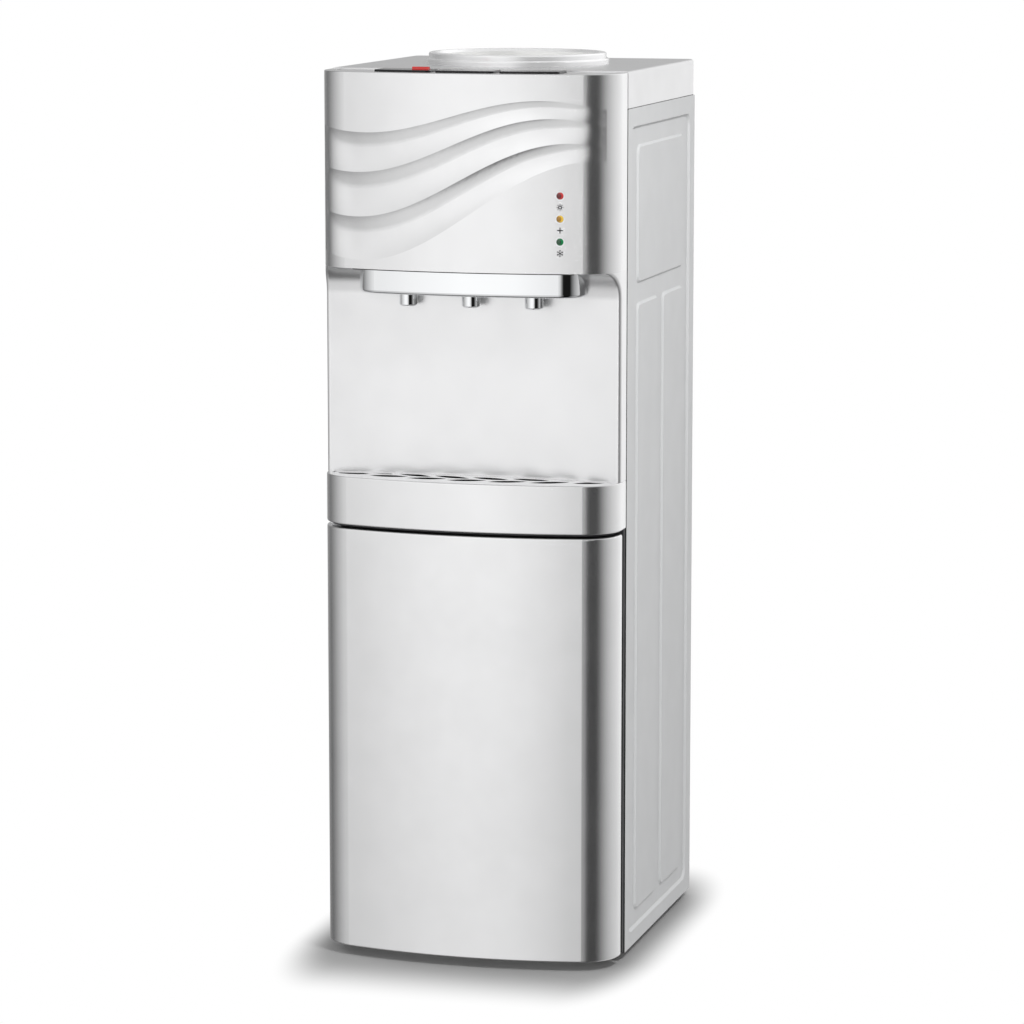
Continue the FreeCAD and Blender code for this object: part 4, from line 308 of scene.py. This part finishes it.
# %% Tanks, copper, enamel, foam and tube
stainless = finish("drawn_stainless", (0.58, 0.58, 0.59), drift=0.05, drift_scale=6,
                   gloss=(0.22, 0.34), metallic=1.0, stretch=(1, 1, 60))
bright_steel = finish("bright_steel", (0.56, 0.56, 0.57), drift=0.06, drift_scale=200,
                      gloss=(0.25, 0.36), metallic=1.0)
copper = finish("bare_copper", (0.62, 0.29, 0.16), drift=0.22, drift_scale=35,
                gloss=(0.25, 0.45), gloss_scale=60, metallic=1.0)
enamel = finish("black_enamel", (0.018, 0.018, 0.020), drift=0.15, drift_scale=50,
                gloss=(0.30, 0.42), grain=0.15, grain_scale=500)
foam = finish("cream_foam", (0.72, 0.65, 0.46), drift=0.07, drift_scale=60,
              gloss=(0.85, 0.95), grain=0.6, grain_scale=350)
silicone = finish("milky_silicone", (0.72, 0.72, 0.69), drift=0.03, drift_scale=30,
                  gloss=(0.30, 0.40))
board = finish("lamp_board_green", (0.02, 0.16, 0.06), drift=0.12, drift_scale=300,
               gloss=(0.30, 0.45), grain=0.1)
wear(stainless, "cold_tank", "hot_tank")
wear(bright_steel, "heater_band", "hinge_brackets", "strike_plate", "spring_hot", "spring_warm",
     "spring_cold")
wear(copper, "evaporator", "refrigerant_lines", "filter_drier")
wear(enamel, "compressor", "condenser_tube", "condenser_wires")
wear(foam, "tank_foam")
wear(silicone, "water_tubes")
wear(board, "lamp_board")

# %% [markdown]
# ## Lamp lenses
# The three indicator lamps are small domes of tinted plastic with a lamp behind each. The lamp's
# body darkens the middle and the rim carries the light, so the tint runs from dark to bright with
# the distance from the axis. A clear coat and a faint glow make it read as a lens that is lit
# without shining.

# %% Lit lenses
LAMP_R = 0.0021
LENS_R = 0.0036
GLOW = 0.08


def vector_step(tree, operation, first, second=None):
    """One step of arithmetic on one vector or on two."""
    step = tree.nodes.new("ShaderNodeVectorMath")
    step.operation = operation
    feed(tree, step.inputs[0], first)
    if second is not None:
        feed(tree, step.inputs[1], second)
    return step


def smooth_share(tree, value, low, high):
    """Climbs softly from 0 to 1 while a value goes from low to high."""
    share = tree.nodes.new("ShaderNodeMapRange")
    share.interpolation_type = "SMOOTHSTEP"
    share.inputs["From Min"].default_value = low
    share.inputs["From Max"].default_value = high
    tree.links.new(value, share.inputs["Value"])
    return share.outputs["Result"]


def lens_finish(name, rim, middle):
    """A tinted lens, bright at its rim and darker in its middle, for the node of the same name."""
    material = finish(name, rim, drift=0.08, drift_scale=400, gloss=(0.08, 0.14), coat=0.6)
    tree = material.node_tree
    shader = tree.nodes["Principled BSDF"]
    base = shader.inputs["Base Color"]
    low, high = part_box(name)
    centre = [(a + b) / 2 for a, b in zip(low, high)]
    place = tree.nodes["Texture Coordinate"].outputs["Object"]
    offset = vector_step(tree, "SUBTRACT", place, centre)
    flat = vector_step(tree, "MULTIPLY", offset.outputs["Vector"], (1, 0, 1))
    radius = vector_step(tree, "LENGTH", flat.outputs["Vector"])
    outward = smooth_share(tree, radius.outputs["Value"], LAMP_R, LENS_R)
    tint = colour_mix(tree, outward, middle, base.links[0].from_socket)
    tree.links.new(tint, base)
    tree.links.new(tint, shader.inputs["Emission Color"])
    shader.inputs["Emission Strength"].default_value = GLOW
    wear(material, name)


lens_finish("lamp_red", rim=(0.40, 0.05, 0.05), middle=(0.08, 0.003, 0.005))
lens_finish("lamp_amber", rim=(0.55, 0.36, 0.06), middle=(0.24, 0.12, 0.010))
lens_finish("lamp_green", rim=(0.016, 0.15, 0.055), middle=(0.002, 0.042, 0.014))

# %% [markdown]
# ## Modelling by hand
# Small pieces start from a primitive and are shaped in edit mode. Operators act on whatever is
# selected, so each piece starts with nothing selected. When a piece is done, its place is applied,
# so the object itself sits at the origin like the CAD nodes do.

# %% Helpers for hand-made pieces
def start():
    """Nothing selected, object mode."""
    if bpy.context.object and bpy.context.object.mode != "OBJECT":
        bpy.ops.object.mode_set(mode="OBJECT")
    bpy.ops.object.select_all(action="DESELECT")


def apply_place():
    """Moves the selected piece's place, turn and scale into its mesh."""
    bpy.ops.object.transform_apply(location=True, rotation=True, scale=True)


def edit_all():
    """Enters edit mode with everything selected."""
    bpy.ops.object.mode_set(mode="EDIT")
    bpy.ops.mesh.select_all(action="SELECT")


def face_outward():
    """Turns all faces outward and leaves edit mode."""
    bpy.ops.mesh.select_all(action="SELECT")
    bpy.ops.mesh.normals_make_consistent(inside=False)
    bpy.ops.object.mode_set(mode="OBJECT")


def place_copy(piece, name, where, turn=(0, 0, 0)):
    """A copy of a modelled piece with its own mesh, put in place with its transform applied."""
    start()
    copy = piece.copy()
    copy.data = piece.data.copy()
    copy.name = name
    bpy.context.collection.objects.link(copy)
    copy.location = where
    copy.rotation_euler = turn
    copy.select_set(True)
    bpy.context.view_layer.objects.active = copy
    apply_place()
    return copy


def gather(pieces, name):
    """Joins placed copies into one piece."""
    start()
    for piece in pieces:
        piece.select_set(True)
    bpy.context.view_layer.objects.active = pieces[0]
    bpy.ops.object.join()
    joined = bpy.context.object
    joined.name = name
    return joined


def settle(piece, body, material):
    """Gives a piece its finish and its body, and prints its face count."""
    piece.data.materials.clear()
    piece.data.materials.append(material)
    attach(piece, body)
    print(piece.name, len(piece.data.polygons), "faces on", body)


def discard(piece):
    """Removes a master once its copies are placed."""
    bpy.data.objects.remove(piece, do_unlink=True)


# %% [markdown]
# ## Signs beside the lamps
# Under each lamp the fascia carries a small dark printed sign: a sun for heating, a cross for power
# and a snowflake for cooling. Print is a thin film, so each sign is flat and about a tenth of a
# millimetre thick. All three are drawn in the XZ plane, facing the viewer, and then turned onto the
# bow of the front.

# %% Where the signs go
BOW_RADIUS = 0.553
FRONT_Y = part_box("fascia")[0][1]
SIGN_X = 0.105
SIGN_HEIGHTS = {"sign_heat": 0.8022, "sign_power": 0.7787, "sign_cool": 0.7552}
PRINT = 0.00012
bow_turn = math.asin(SIGN_X / BOW_RADIUS)
bow_y = FRONT_Y + BOW_RADIUS - BOW_RADIUS * math.cos(bow_turn)
print("signs sit at y =", round(bow_y, 4), "turned", round(math.degrees(bow_turn), 1), "degrees")

# %% A bar and a ring of print
def thicken():
    """Gives the flat print in edit mode its thickness, towards the viewer."""
    bpy.ops.mesh.select_all(action="SELECT")
    bpy.ops.mesh.extrude_region_move(TRANSFORM_OT_translate={"value": (0, -PRINT, 0)})
    face_outward()


def bar(width, height, where, angle):
    """A printed bar in the XZ plane."""
    start()
    bpy.ops.mesh.primitive_plane_add(size=1, rotation=(math.pi / 2, 0, 0))
    piece = bpy.context.object
    piece.scale = (width, height, 1)
    apply_place()
    edit_all()
    thicken()
    piece.rotation_euler = (0, angle, 0)
    piece.location = (where[0], 0, where[1])
    apply_place()
    return piece


def ring_print(outer, inner):
    """A printed ring in the XZ plane."""
    start()
    bpy.ops.mesh.primitive_circle_add(vertices=32, radius=outer, fill_type="NGON",
                                      rotation=(math.pi / 2, 0, 0))
    piece = bpy.context.object
    apply_place()
    edit_all()
    bpy.ops.mesh.inset(thickness=outer - inner)
    bpy.ops.mesh.delete(type="FACE")
    thicken()
    return piece


# %% Draw the signs
LINE = 0.0008
SUN_R, SUN_HOLE_R = 0.0021, 0.0010
RAY, RAY_AT = 0.0012, 0.0031
RAYS = 8
CROSS, CROSS_LINE = 0.0062, LINE * 1.4
ARM, ARM_AT = 0.0036, 0.0017
ARMS = 6
BARB, BARB_LINE = 0.0013, LINE * 0.8
BARB_AT, BARB_OUT = 0.0022, 0.0005


def along(angle, distance):
    """A point in the XZ plane, at an angle from straight up."""
    return distance * math.sin(angle), distance * math.cos(angle)


sun_parts = [ring_print(SUN_R, SUN_HOLE_R)]
for step in range(RAYS):
    angle = step * 2 * math.pi / RAYS
    sun_parts.append(bar(LINE, RAY, along(angle, RAY_AT), angle))
cross_parts = [bar(CROSS_LINE, CROSS, (0, 0), 0), bar(CROSS, CROSS_LINE, (0, 0), 0)]
flake_parts = []
for step in range(ARMS):
    angle = step * 2 * math.pi / ARMS
    flake_parts.append(bar(LINE, ARM, along(angle, ARM_AT), angle))
    for side in (-1, 1):
        lean = angle + side * math.pi / 4
        tip = [a + b for a, b in zip(along(angle, BARB_AT), along(lean, BARB_OUT))]
        flake_parts.append(bar(BARB_LINE, BARB, tip, lean))
print("sign strokes:", len(sun_parts), len(cross_parts), len(flake_parts))

# %% Put the signs on the fascia
print_dark = finish("sign_print", (0.02, 0.02, 0.022), drift=0.10, drift_scale=300,
                    gloss=(0.55, 0.65))
for name, parts in zip(SIGN_HEIGHTS, (sun_parts, cross_parts, flake_parts)):
    sign = gather(parts, name + "_master")
    spot = (SIGN_X, bow_y - PRINT / 4, SIGN_HEIGHTS[name])
    shown = place_copy(sign, name, spot, (0, 0, bow_turn))
    discard(sign)
    settle(shown, "cabinet", print_dark)

# %% [markdown]
# ## A dark strip under the fascia
# A thin strip of dark rubber finish runs along the lower edge of the fascia. It is painted shade: a
# dark piece that stands for the shadow line above the chrome bar. It has one small section all
# along the bow, so a rectangle is turned to one end and spun about the bow's own centre.

# %% Spin the shade strip along the bow
SHADE_STRIP = 0.0010
SHADE_STRIP_DEPTH = 0.0016
SHADE_STRIP_BACK = 0.0004
SHADE_STRIP_END_X = 0.119
bow_reach = math.asin(SHADE_STRIP_END_X / BOW_RADIUS)
bow_centre = (0, FRONT_Y + BOW_RADIUS, 0)
# Painted shade: this dark strip stands for the shadow line under the fascia's lower edge.
start()
bpy.ops.mesh.primitive_plane_add(size=1, rotation=(0, math.pi / 2, 0))
shade_strip = bpy.context.object
shade_strip.scale = (SHADE_STRIP, SHADE_STRIP_DEPTH, 1)
shade_strip.location = (0, FRONT_Y + SHADE_STRIP_BACK + SHADE_STRIP_DEPTH / 2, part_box("fascia")[0][2] - SHADE_STRIP / 2)
apply_place()
edit_all()
bpy.ops.transform.rotate(value=bow_reach, orient_axis="Z", center_override=bow_centre)
bpy.ops.mesh.spin(steps=28, angle=-2 * bow_reach, center=bow_centre, axis=(0, 0, 1))
face_outward()
shade_strip.name = "fascia_shade_strip"
settle(shade_strip, "cabinet", rubber)

# %% [markdown]
# ## Screws on the back
# The back panel and the folds of the sides are held by cross-head screws. One is modelled: a short
# cylinder whose upper rim is bevelled into a low dome and whose face is cut by a cross. It is then
# copied to each hole.

# %% Model one screw
HEAD_R = 0.0040
HEAD_H = 0.0018
HEAD_ROUND = 0.0011
SLOT_LONG, SLOT_WIDE, SLOT_DEEP = 0.0042, 0.0009, 0.0018


def pick_above(piece, level):
    """Enters edit mode with the edges of a piece selected that lie above a level."""
    bpy.ops.object.mode_set(mode="EDIT")
    bpy.ops.mesh.select_all(action="DESELECT")
    bpy.ops.mesh.select_mode(type="EDGE")
    bpy.ops.object.mode_set(mode="OBJECT")
    for edge in piece.data.edges:
        edge.select = all(piece.data.vertices[v].co.z > level for v in edge.vertices)
    bpy.ops.object.mode_set(mode="EDIT")


def model_screw():
    """A pan-head screw that points along +Y, with its seat at y = 0."""
    start()
    bpy.ops.mesh.primitive_cylinder_add(vertices=28, radius=HEAD_R, depth=HEAD_H,
                                        location=(0, 0, HEAD_H / 2))
    head = bpy.context.object
    apply_place()
    pick_above(head, HEAD_H * 0.9)
    bpy.ops.mesh.bevel(offset=HEAD_ROUND, segments=4, profile=0.6)
    for size in ((SLOT_WIDE, SLOT_LONG, SLOT_DEEP), (SLOT_LONG, SLOT_WIDE, SLOT_DEEP)):
        start()
        bpy.ops.mesh.primitive_cube_add(size=1, location=(0, 0, HEAD_H))
        cutter = bpy.context.object
        cutter.scale = size
        apply_place()
        start()
        head.select_set(True)
        bpy.context.view_layer.objects.active = head
        cut = head.modifiers.new("cross", "BOOLEAN")
        cut.operation = "DIFFERENCE"
        cut.solver = "EXACT"
        cut.object = cutter
        bpy.ops.object.modifier_apply(modifier="cross")
        discard(cutter)
    head.rotation_euler = (-math.pi / 2, 0, 0)
    apply_place()
    bpy.ops.object.shade_smooth_by_angle(angle=math.radians(35))
    return head


screw = model_screw()
print("screw:", len(screw.data.polygons), "faces")

# %% Copy the screw to its holes
PANEL_X, PANEL_ROWS = 0.150, (0.245, 0.46, 0.675, 0.885)
FOLD_X, FOLD_ROWS = 0.152, (0.05, 0.32, 0.59, 0.86)
CAP_X, CAP_ROW = 0.110, 0.915
HOUSING_RIM = 0.002
NEXT_TURN = 0.7
panel_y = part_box("switch_housings")[1][1] - HOUSING_RIM
fold_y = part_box("side_panel_right")[1][1]
cap_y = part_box("top_cap")[1][1]
holes = [(side * PANEL_X, panel_y, z) for side in (-1, 1) for z in PANEL_ROWS]
holes += [(side * FOLD_X, fold_y, z) for side in (-1, 1) for z in FOLD_ROWS]
holes += [(side * CAP_X, cap_y, CAP_ROW) for side in (-1, 1)]
screws = [place_copy(screw, f"screw_{i}", hole, (0, i * NEXT_TURN, 0))
          for i, hole in enumerate(holes)]
back_screws = gather(screws, "back_screws")
discard(screw)
settle(back_screws, "cabinet", bright_steel)

# %% [markdown]
# ## Nuts on the compressor's feet
# The compressor stands on four rubber mounts, each clamped by a nut on a stud. A six-sided cylinder
# makes the nut and its upper corners are chamfered. A thinner round cylinder with a chamfered end
# makes the stud.

# %% Model one nut and copy it
NUT_R, NUT_H, NUT_CHAMFER = 0.0065, 0.005, 0.0007
STUD_R, STUD_H, STUD_CHAMFER = 0.003, 0.006, 0.0006
STUD_Z = 0.006
MOUNT_R = 0.009
FOOT_SHEET = 0.0025
NUT_TURN = 0.4


def chamfered(sides, radius, depth, z, chamfer):
    """An upright cylinder with its middle at a height and its upper rim chamfered."""
    start()
    bpy.ops.mesh.primitive_cylinder_add(vertices=sides, radius=radius, depth=depth,
                                        location=(0, 0, z))
    piece = bpy.context.object
    apply_place()
    pick_above(piece, z + depth * 0.4)
    bpy.ops.mesh.bevel(offset=chamfer, segments=2)
    bpy.ops.object.mode_set(mode="OBJECT")
    return piece


hexagon = chamfered(sides=6, radius=NUT_R, depth=NUT_H, z=NUT_H / 2, chamfer=NUT_CHAMFER)
stud = chamfered(sides=20, radius=STUD_R, depth=STUD_H, z=STUD_Z, chamfer=STUD_CHAMFER)
nut = gather([hexagon, stud], "nut_master")
mount_low, mount_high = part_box("compressor_mounts")
foot_top = mount_high[2] + FOOT_SHEET
studs = []
for x in (mount_low[0] + MOUNT_R, mount_high[0] - MOUNT_R):
    for y in (mount_low[1] + MOUNT_R, mount_high[1] - MOUNT_R):
        i = len(studs)
        studs.append(place_copy(nut, f"nut_{i}", (x, y, foot_top), (0, 0, NUT_TURN * i)))
mount_nuts = gather(studs, "compressor_nuts")
discard(nut)
settle(mount_nuts, "cabinet", bright_steel)

# %% [markdown]
# ## Wound springs
# A spring is one wire wound round an axis. A small circle is set at the coil's radius, and a Screw
# modifier winds it upwards. Each wound spring takes the place of the stiff spring of the CAD frame,
# which is hidden. A real spring shortens while its key goes down; these keep their length.

# %% Wind the springs
WIRE_R = 0.0007
TURNS = 5


def model_spring(radius, height):
    """A spring round the Z axis, whose wire starts at z = 0."""
    start()
    bpy.ops.mesh.primitive_circle_add(vertices=10, radius=WIRE_R, location=(radius, 0, 0),
                                      rotation=(math.pi / 2, 0, 0))
    wire = bpy.context.object
    apply_place()
    wind = wire.modifiers.new("wind", "SCREW")
    wind.axis = "Z"
    wind.iterations = TURNS
    wind.screw_offset = height / TURNS
    wind.steps = wind.render_steps = 28
    bpy.ops.object.modifier_apply(modifier="wind")
    edit_all()
    bpy.ops.mesh.fill_holes(sides=0)
    face_outward()
    bpy.ops.object.shade_smooth_by_angle(angle=math.radians(40))
    return wire


low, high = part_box("spring_hot")
wound = model_spring((high[0] - low[0]) / 2 - WIRE_R, high[2] - low[2] - 2 * WIRE_R)
for key in ("hot", "warm", "cold"):
    low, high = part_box(f"spring_{key}")
    foot = ((low[0] + high[0]) / 2, (low[1] + high[1]) / 2, low[2] + WIRE_R)
    spring = place_copy(wound, f"wound_spring_{key}", foot)
    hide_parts(f"spring_{key}")
    settle(spring, "cabinet", bright_steel)
    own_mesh(spring)
discard(wound)

# %% [markdown]
# ## Stage and light
# The photograph is a studio shot on white: a wide soft light in front, and a dark card to the right
# of it that draws the dark line down the rounded corner and the black bar in the chrome. So the
# brightness of the surroundings depends on the compass direction. It also falls off downwards,
# which darkens the foot of the door a little and the cove of the bay a lot, because a cove mirrors
# what lies below it.

# %% Brightness by direction
COMPASS = [(-180, 0.55), (-150, 0.42), (-114, 0.14), (-95, 0.30), (-80, 0.48), (-57, 0.72),
           (-42, 0.89), (-29, 1.05), (-17, 1.14), (-4, 1.11), (7, 0.93), (13, 0.80), (20, 0.30),
           (27, 0.01), (57, 0.01), (65, 0.15), (78, 0.38), (91, 0.56), (108, 0.74), (150, 1.05),
           (168, 1.10), (180, 0.55)]
RISE = [(-1.0, 0.03), (-0.92, 0.05), (-0.80, 0.73), (-0.50, 0.76), (-0.27, 0.72), (-0.205, 0.91),
        (-0.16, 1.03), (0.0, 1.03), (0.50, 1.08), (1.0, 1.08)]
BRIGHTEST = max(level for angle, level in COMPASS) * max(level for rise, level in RISE)


def stepped(tree, value, low, high, table):
    """Nodes that turn a value from low to high into a brightness that follows a table of steps."""
    share = tree.nodes.new("ShaderNodeMapRange")
    share.inputs["From Min"].default_value = low
    share.inputs["From Max"].default_value = high
    tree.links.new(value, share.inputs["Value"])
    ramp = tree.nodes.new("ShaderNodeValToRGB")
    steps = ramp.color_ramp.elements
    top = max(level for place, level in table)
    first, last = table[0][0], table[-1][0]
    for place, level in table[1:-1]:
        steps.new((place - first) / (last - first))
    for (place, level), step in zip(table, steps):
        step.color = (*[level / top] * 3, 1)
    tree.links.new(share.outputs["Result"], ramp.inputs["Fac"])
    return ramp.outputs["Color"]


# %% [markdown]
# ## World
# The two tables are multiplied. Straight overhead a plain grey dome takes over, because a compass
# has no meaning there. The camera itself sees white, so the backdrop needs no extra light.

# %% World
WHITE = (1, 1, 1, 1)
DOME = (0.46, 0.46, 0.46)
DOME_FROM, DOME_TO = 0.60, 0.92


def shader_mix(tree, factor, first, second):
    """A blend of two shaders."""
    blend = tree.nodes.new("ShaderNodeMixShader")
    tree.links.new(factor, blend.inputs["Fac"])
    tree.links.new(first, blend.inputs[1])
    tree.links.new(second, blend.inputs[2])
    return blend.outputs["Shader"]


world = bpy.data.worlds.new("studio")
bpy.context.scene.world = world
world.use_nodes = True
sky = world.node_tree
background = sky.nodes["Background"]
direction = sky.nodes.new("ShaderNodeTexCoord")
axes = sky.nodes.new("ShaderNodeSeparateXYZ")
sky.links.new(direction.outputs["Generated"], axes.inputs["Vector"])
ahead = number_step(sky, "MULTIPLY", axes.outputs["Y"], -1)
compass = number_step(sky, "ARCTAN2", axes.outputs["X"], ahead)
around = stepped(sky, compass, -math.pi, math.pi, COMPASS)
upward = stepped(sky, axes.outputs["Z"], -1, 1, RISE)
both = vector_step(sky, "MULTIPLY", around, upward)
overhead = smooth_share(sky, axes.outputs["Z"], DOME_FROM, DOME_TO)
dome = colour_mix(sky, overhead, both.outputs["Vector"], DOME)
sky.links.new(dome, background.inputs["Color"])
background.inputs["Strength"].default_value = BRIGHTEST
white = sky.nodes.new("ShaderNodeBackground")
white.inputs["Color"].default_value = WHITE
rays = sky.nodes.new("ShaderNodeLightPath")
backdrop = shader_mix(sky, rays.outputs["Is Camera Ray"], background.outputs["Background"],
                      white.outputs["Background"])
sky.links.new(backdrop, sky.nodes["World Output"].inputs["Surface"])
print("world with", len(COMPASS), "steps round and", len(RISE), "steps up")

# %% [markdown]
# ## Floor
# The floor is a wide disc of paper. Close to the dispenser the camera sees it in a darker grey than
# the grey it bounces: a painted shadow round the foot, on top of the real contact shadow. Further
# out the camera sees it blend into the white of the backdrop, so no horizon shows. The blend is
# quick at the sides and slow in front, so the painted shadow is a soft dark rim round the foot,
# widest in front. Mirror rays pass through the floor to the backdrop, so metal shows the backdrop
# and not the edge of the paper.

# %% Floor
FLOOR_R = 14
CORE = (0.127, 0.091, 0)
FADE = (0.083, 0.235, 1)
FADE_FROM, FADE_TO = 0.4, 1.0
PAPER_PAINTED_SHADOW = (0.33, 0.33, 0.33)
PAPER_BOUNCE = (0.45, 0.45, 0.45)
start()
bpy.ops.mesh.primitive_circle_add(vertices=96, radius=FLOOR_R, fill_type="NGON")
floor = bpy.context.object
floor.name = "studio_floor"
paper, tree, shader, place = new_finish("studio_paper")
shader.inputs["Roughness"].default_value = 0.9
path = tree.nodes.new("ShaderNodeLightPath")
seen = path.outputs["Is Camera Ray"]
# Painted shadow: near the foot the camera sees the paper darker than the grey it bounces.
tree.links.new(colour_mix(tree, seen, PAPER_BOUNCE, PAPER_PAINTED_SHADOW), shader.inputs["Base Color"])
outline = vector_step(tree, "ABSOLUTE", place.outputs["Object"])
beyond = vector_step(tree, "SUBTRACT", outline.outputs["Vector"], CORE)
outside = vector_step(tree, "MAXIMUM", beyond.outputs["Vector"], (0, 0, 0))
scaled = vector_step(tree, "DIVIDE", outside.outputs["Vector"], FADE)
away = vector_step(tree, "LENGTH", scaled.outputs["Vector"])
fade = smooth_share(tree, away.outputs["Value"], FADE_FROM, FADE_TO)
only_seen = number_step(tree, "MULTIPLY", fade, seen)
glow = tree.nodes.new("ShaderNodeEmission")
glow.inputs["Color"].default_value = WHITE
faded = shader_mix(tree, only_seen, shader.outputs["BSDF"], glow.outputs["Emission"])
clear = tree.nodes.new("ShaderNodeBsdfTransparent")
mirrored = number_step(tree, "MAXIMUM", path.outputs["Is Glossy Ray"],
                       path.outputs["Is Transmission Ray"])
looks = shader_mix(tree, mirrored, faded, clear.outputs["BSDF"])
tree.links.new(looks, tree.nodes["Material Output"].inputs["Surface"])
floor.data.materials.append(paper)
print("floor ready")

# %% [markdown]
# ## Lamps and camera
# A small soft box high on the right draws the pressed relief of the side panel, a low wide one in
# front lifts the bay wall under the taps, and one on the left keeps the far side from going dark.
# Mirror rays don't see them, so they leave no square highlights in the lacquer. The camera stands
# to the right of the front, a little above the top of the cabinet, with a long lens.

# %% Soft boxes
def soft_box(name, where, target, size, power):
    """A rectangular area lamp that looks at a point."""
    lamp = bpy.data.lights.new(name, "AREA")
    lamp.shape = "RECTANGLE"
    lamp.size, lamp.size_y = size
    lamp.energy = power
    holder = bpy.data.objects.new(name, lamp)
    bpy.context.collection.objects.link(holder)
    holder.location = where
    aim = Vector(target) - Vector(where)
    holder.rotation_euler = aim.to_track_quat("-Z", "Y").to_euler()
    holder.visible_glossy = False
    print(name, power, "W")


soft_box("soft_box_key", where=(1.15, -0.9, 2.0), target=(0.1, 0, 0.85), size=(0.4, 0.4), power=28)
soft_box("soft_box_fill", where=(0.80, -3.1, 0.45), target=(0, 0, 0.60), size=(1.2, 0.7), power=38)
soft_box("soft_box_left", where=(-2.3, 0.5, 1.4), target=(-0.1, 0, 0.5), size=(1.2, 1.2), power=22)

# %% Camera
CAMERA_AT = (1.1939, -4.1913, 1.1398)
LOOK_DOWN = 8.899
LOOK_LEFT = 15.843
eye = bpy.data.cameras.new("portrait")
eye.sensor_width = 36
eye.lens = 143.69
camera = bpy.data.objects.new("portrait", eye)
bpy.context.collection.objects.link(camera)
camera.location = CAMERA_AT
camera.rotation_euler = (math.radians(90 - LOOK_DOWN), 0, math.radians(LOOK_LEFT))
bpy.context.scene.camera = camera
bpy.context.scene.view_settings.view_transform = "Standard"
print("camera lens", eye.lens)
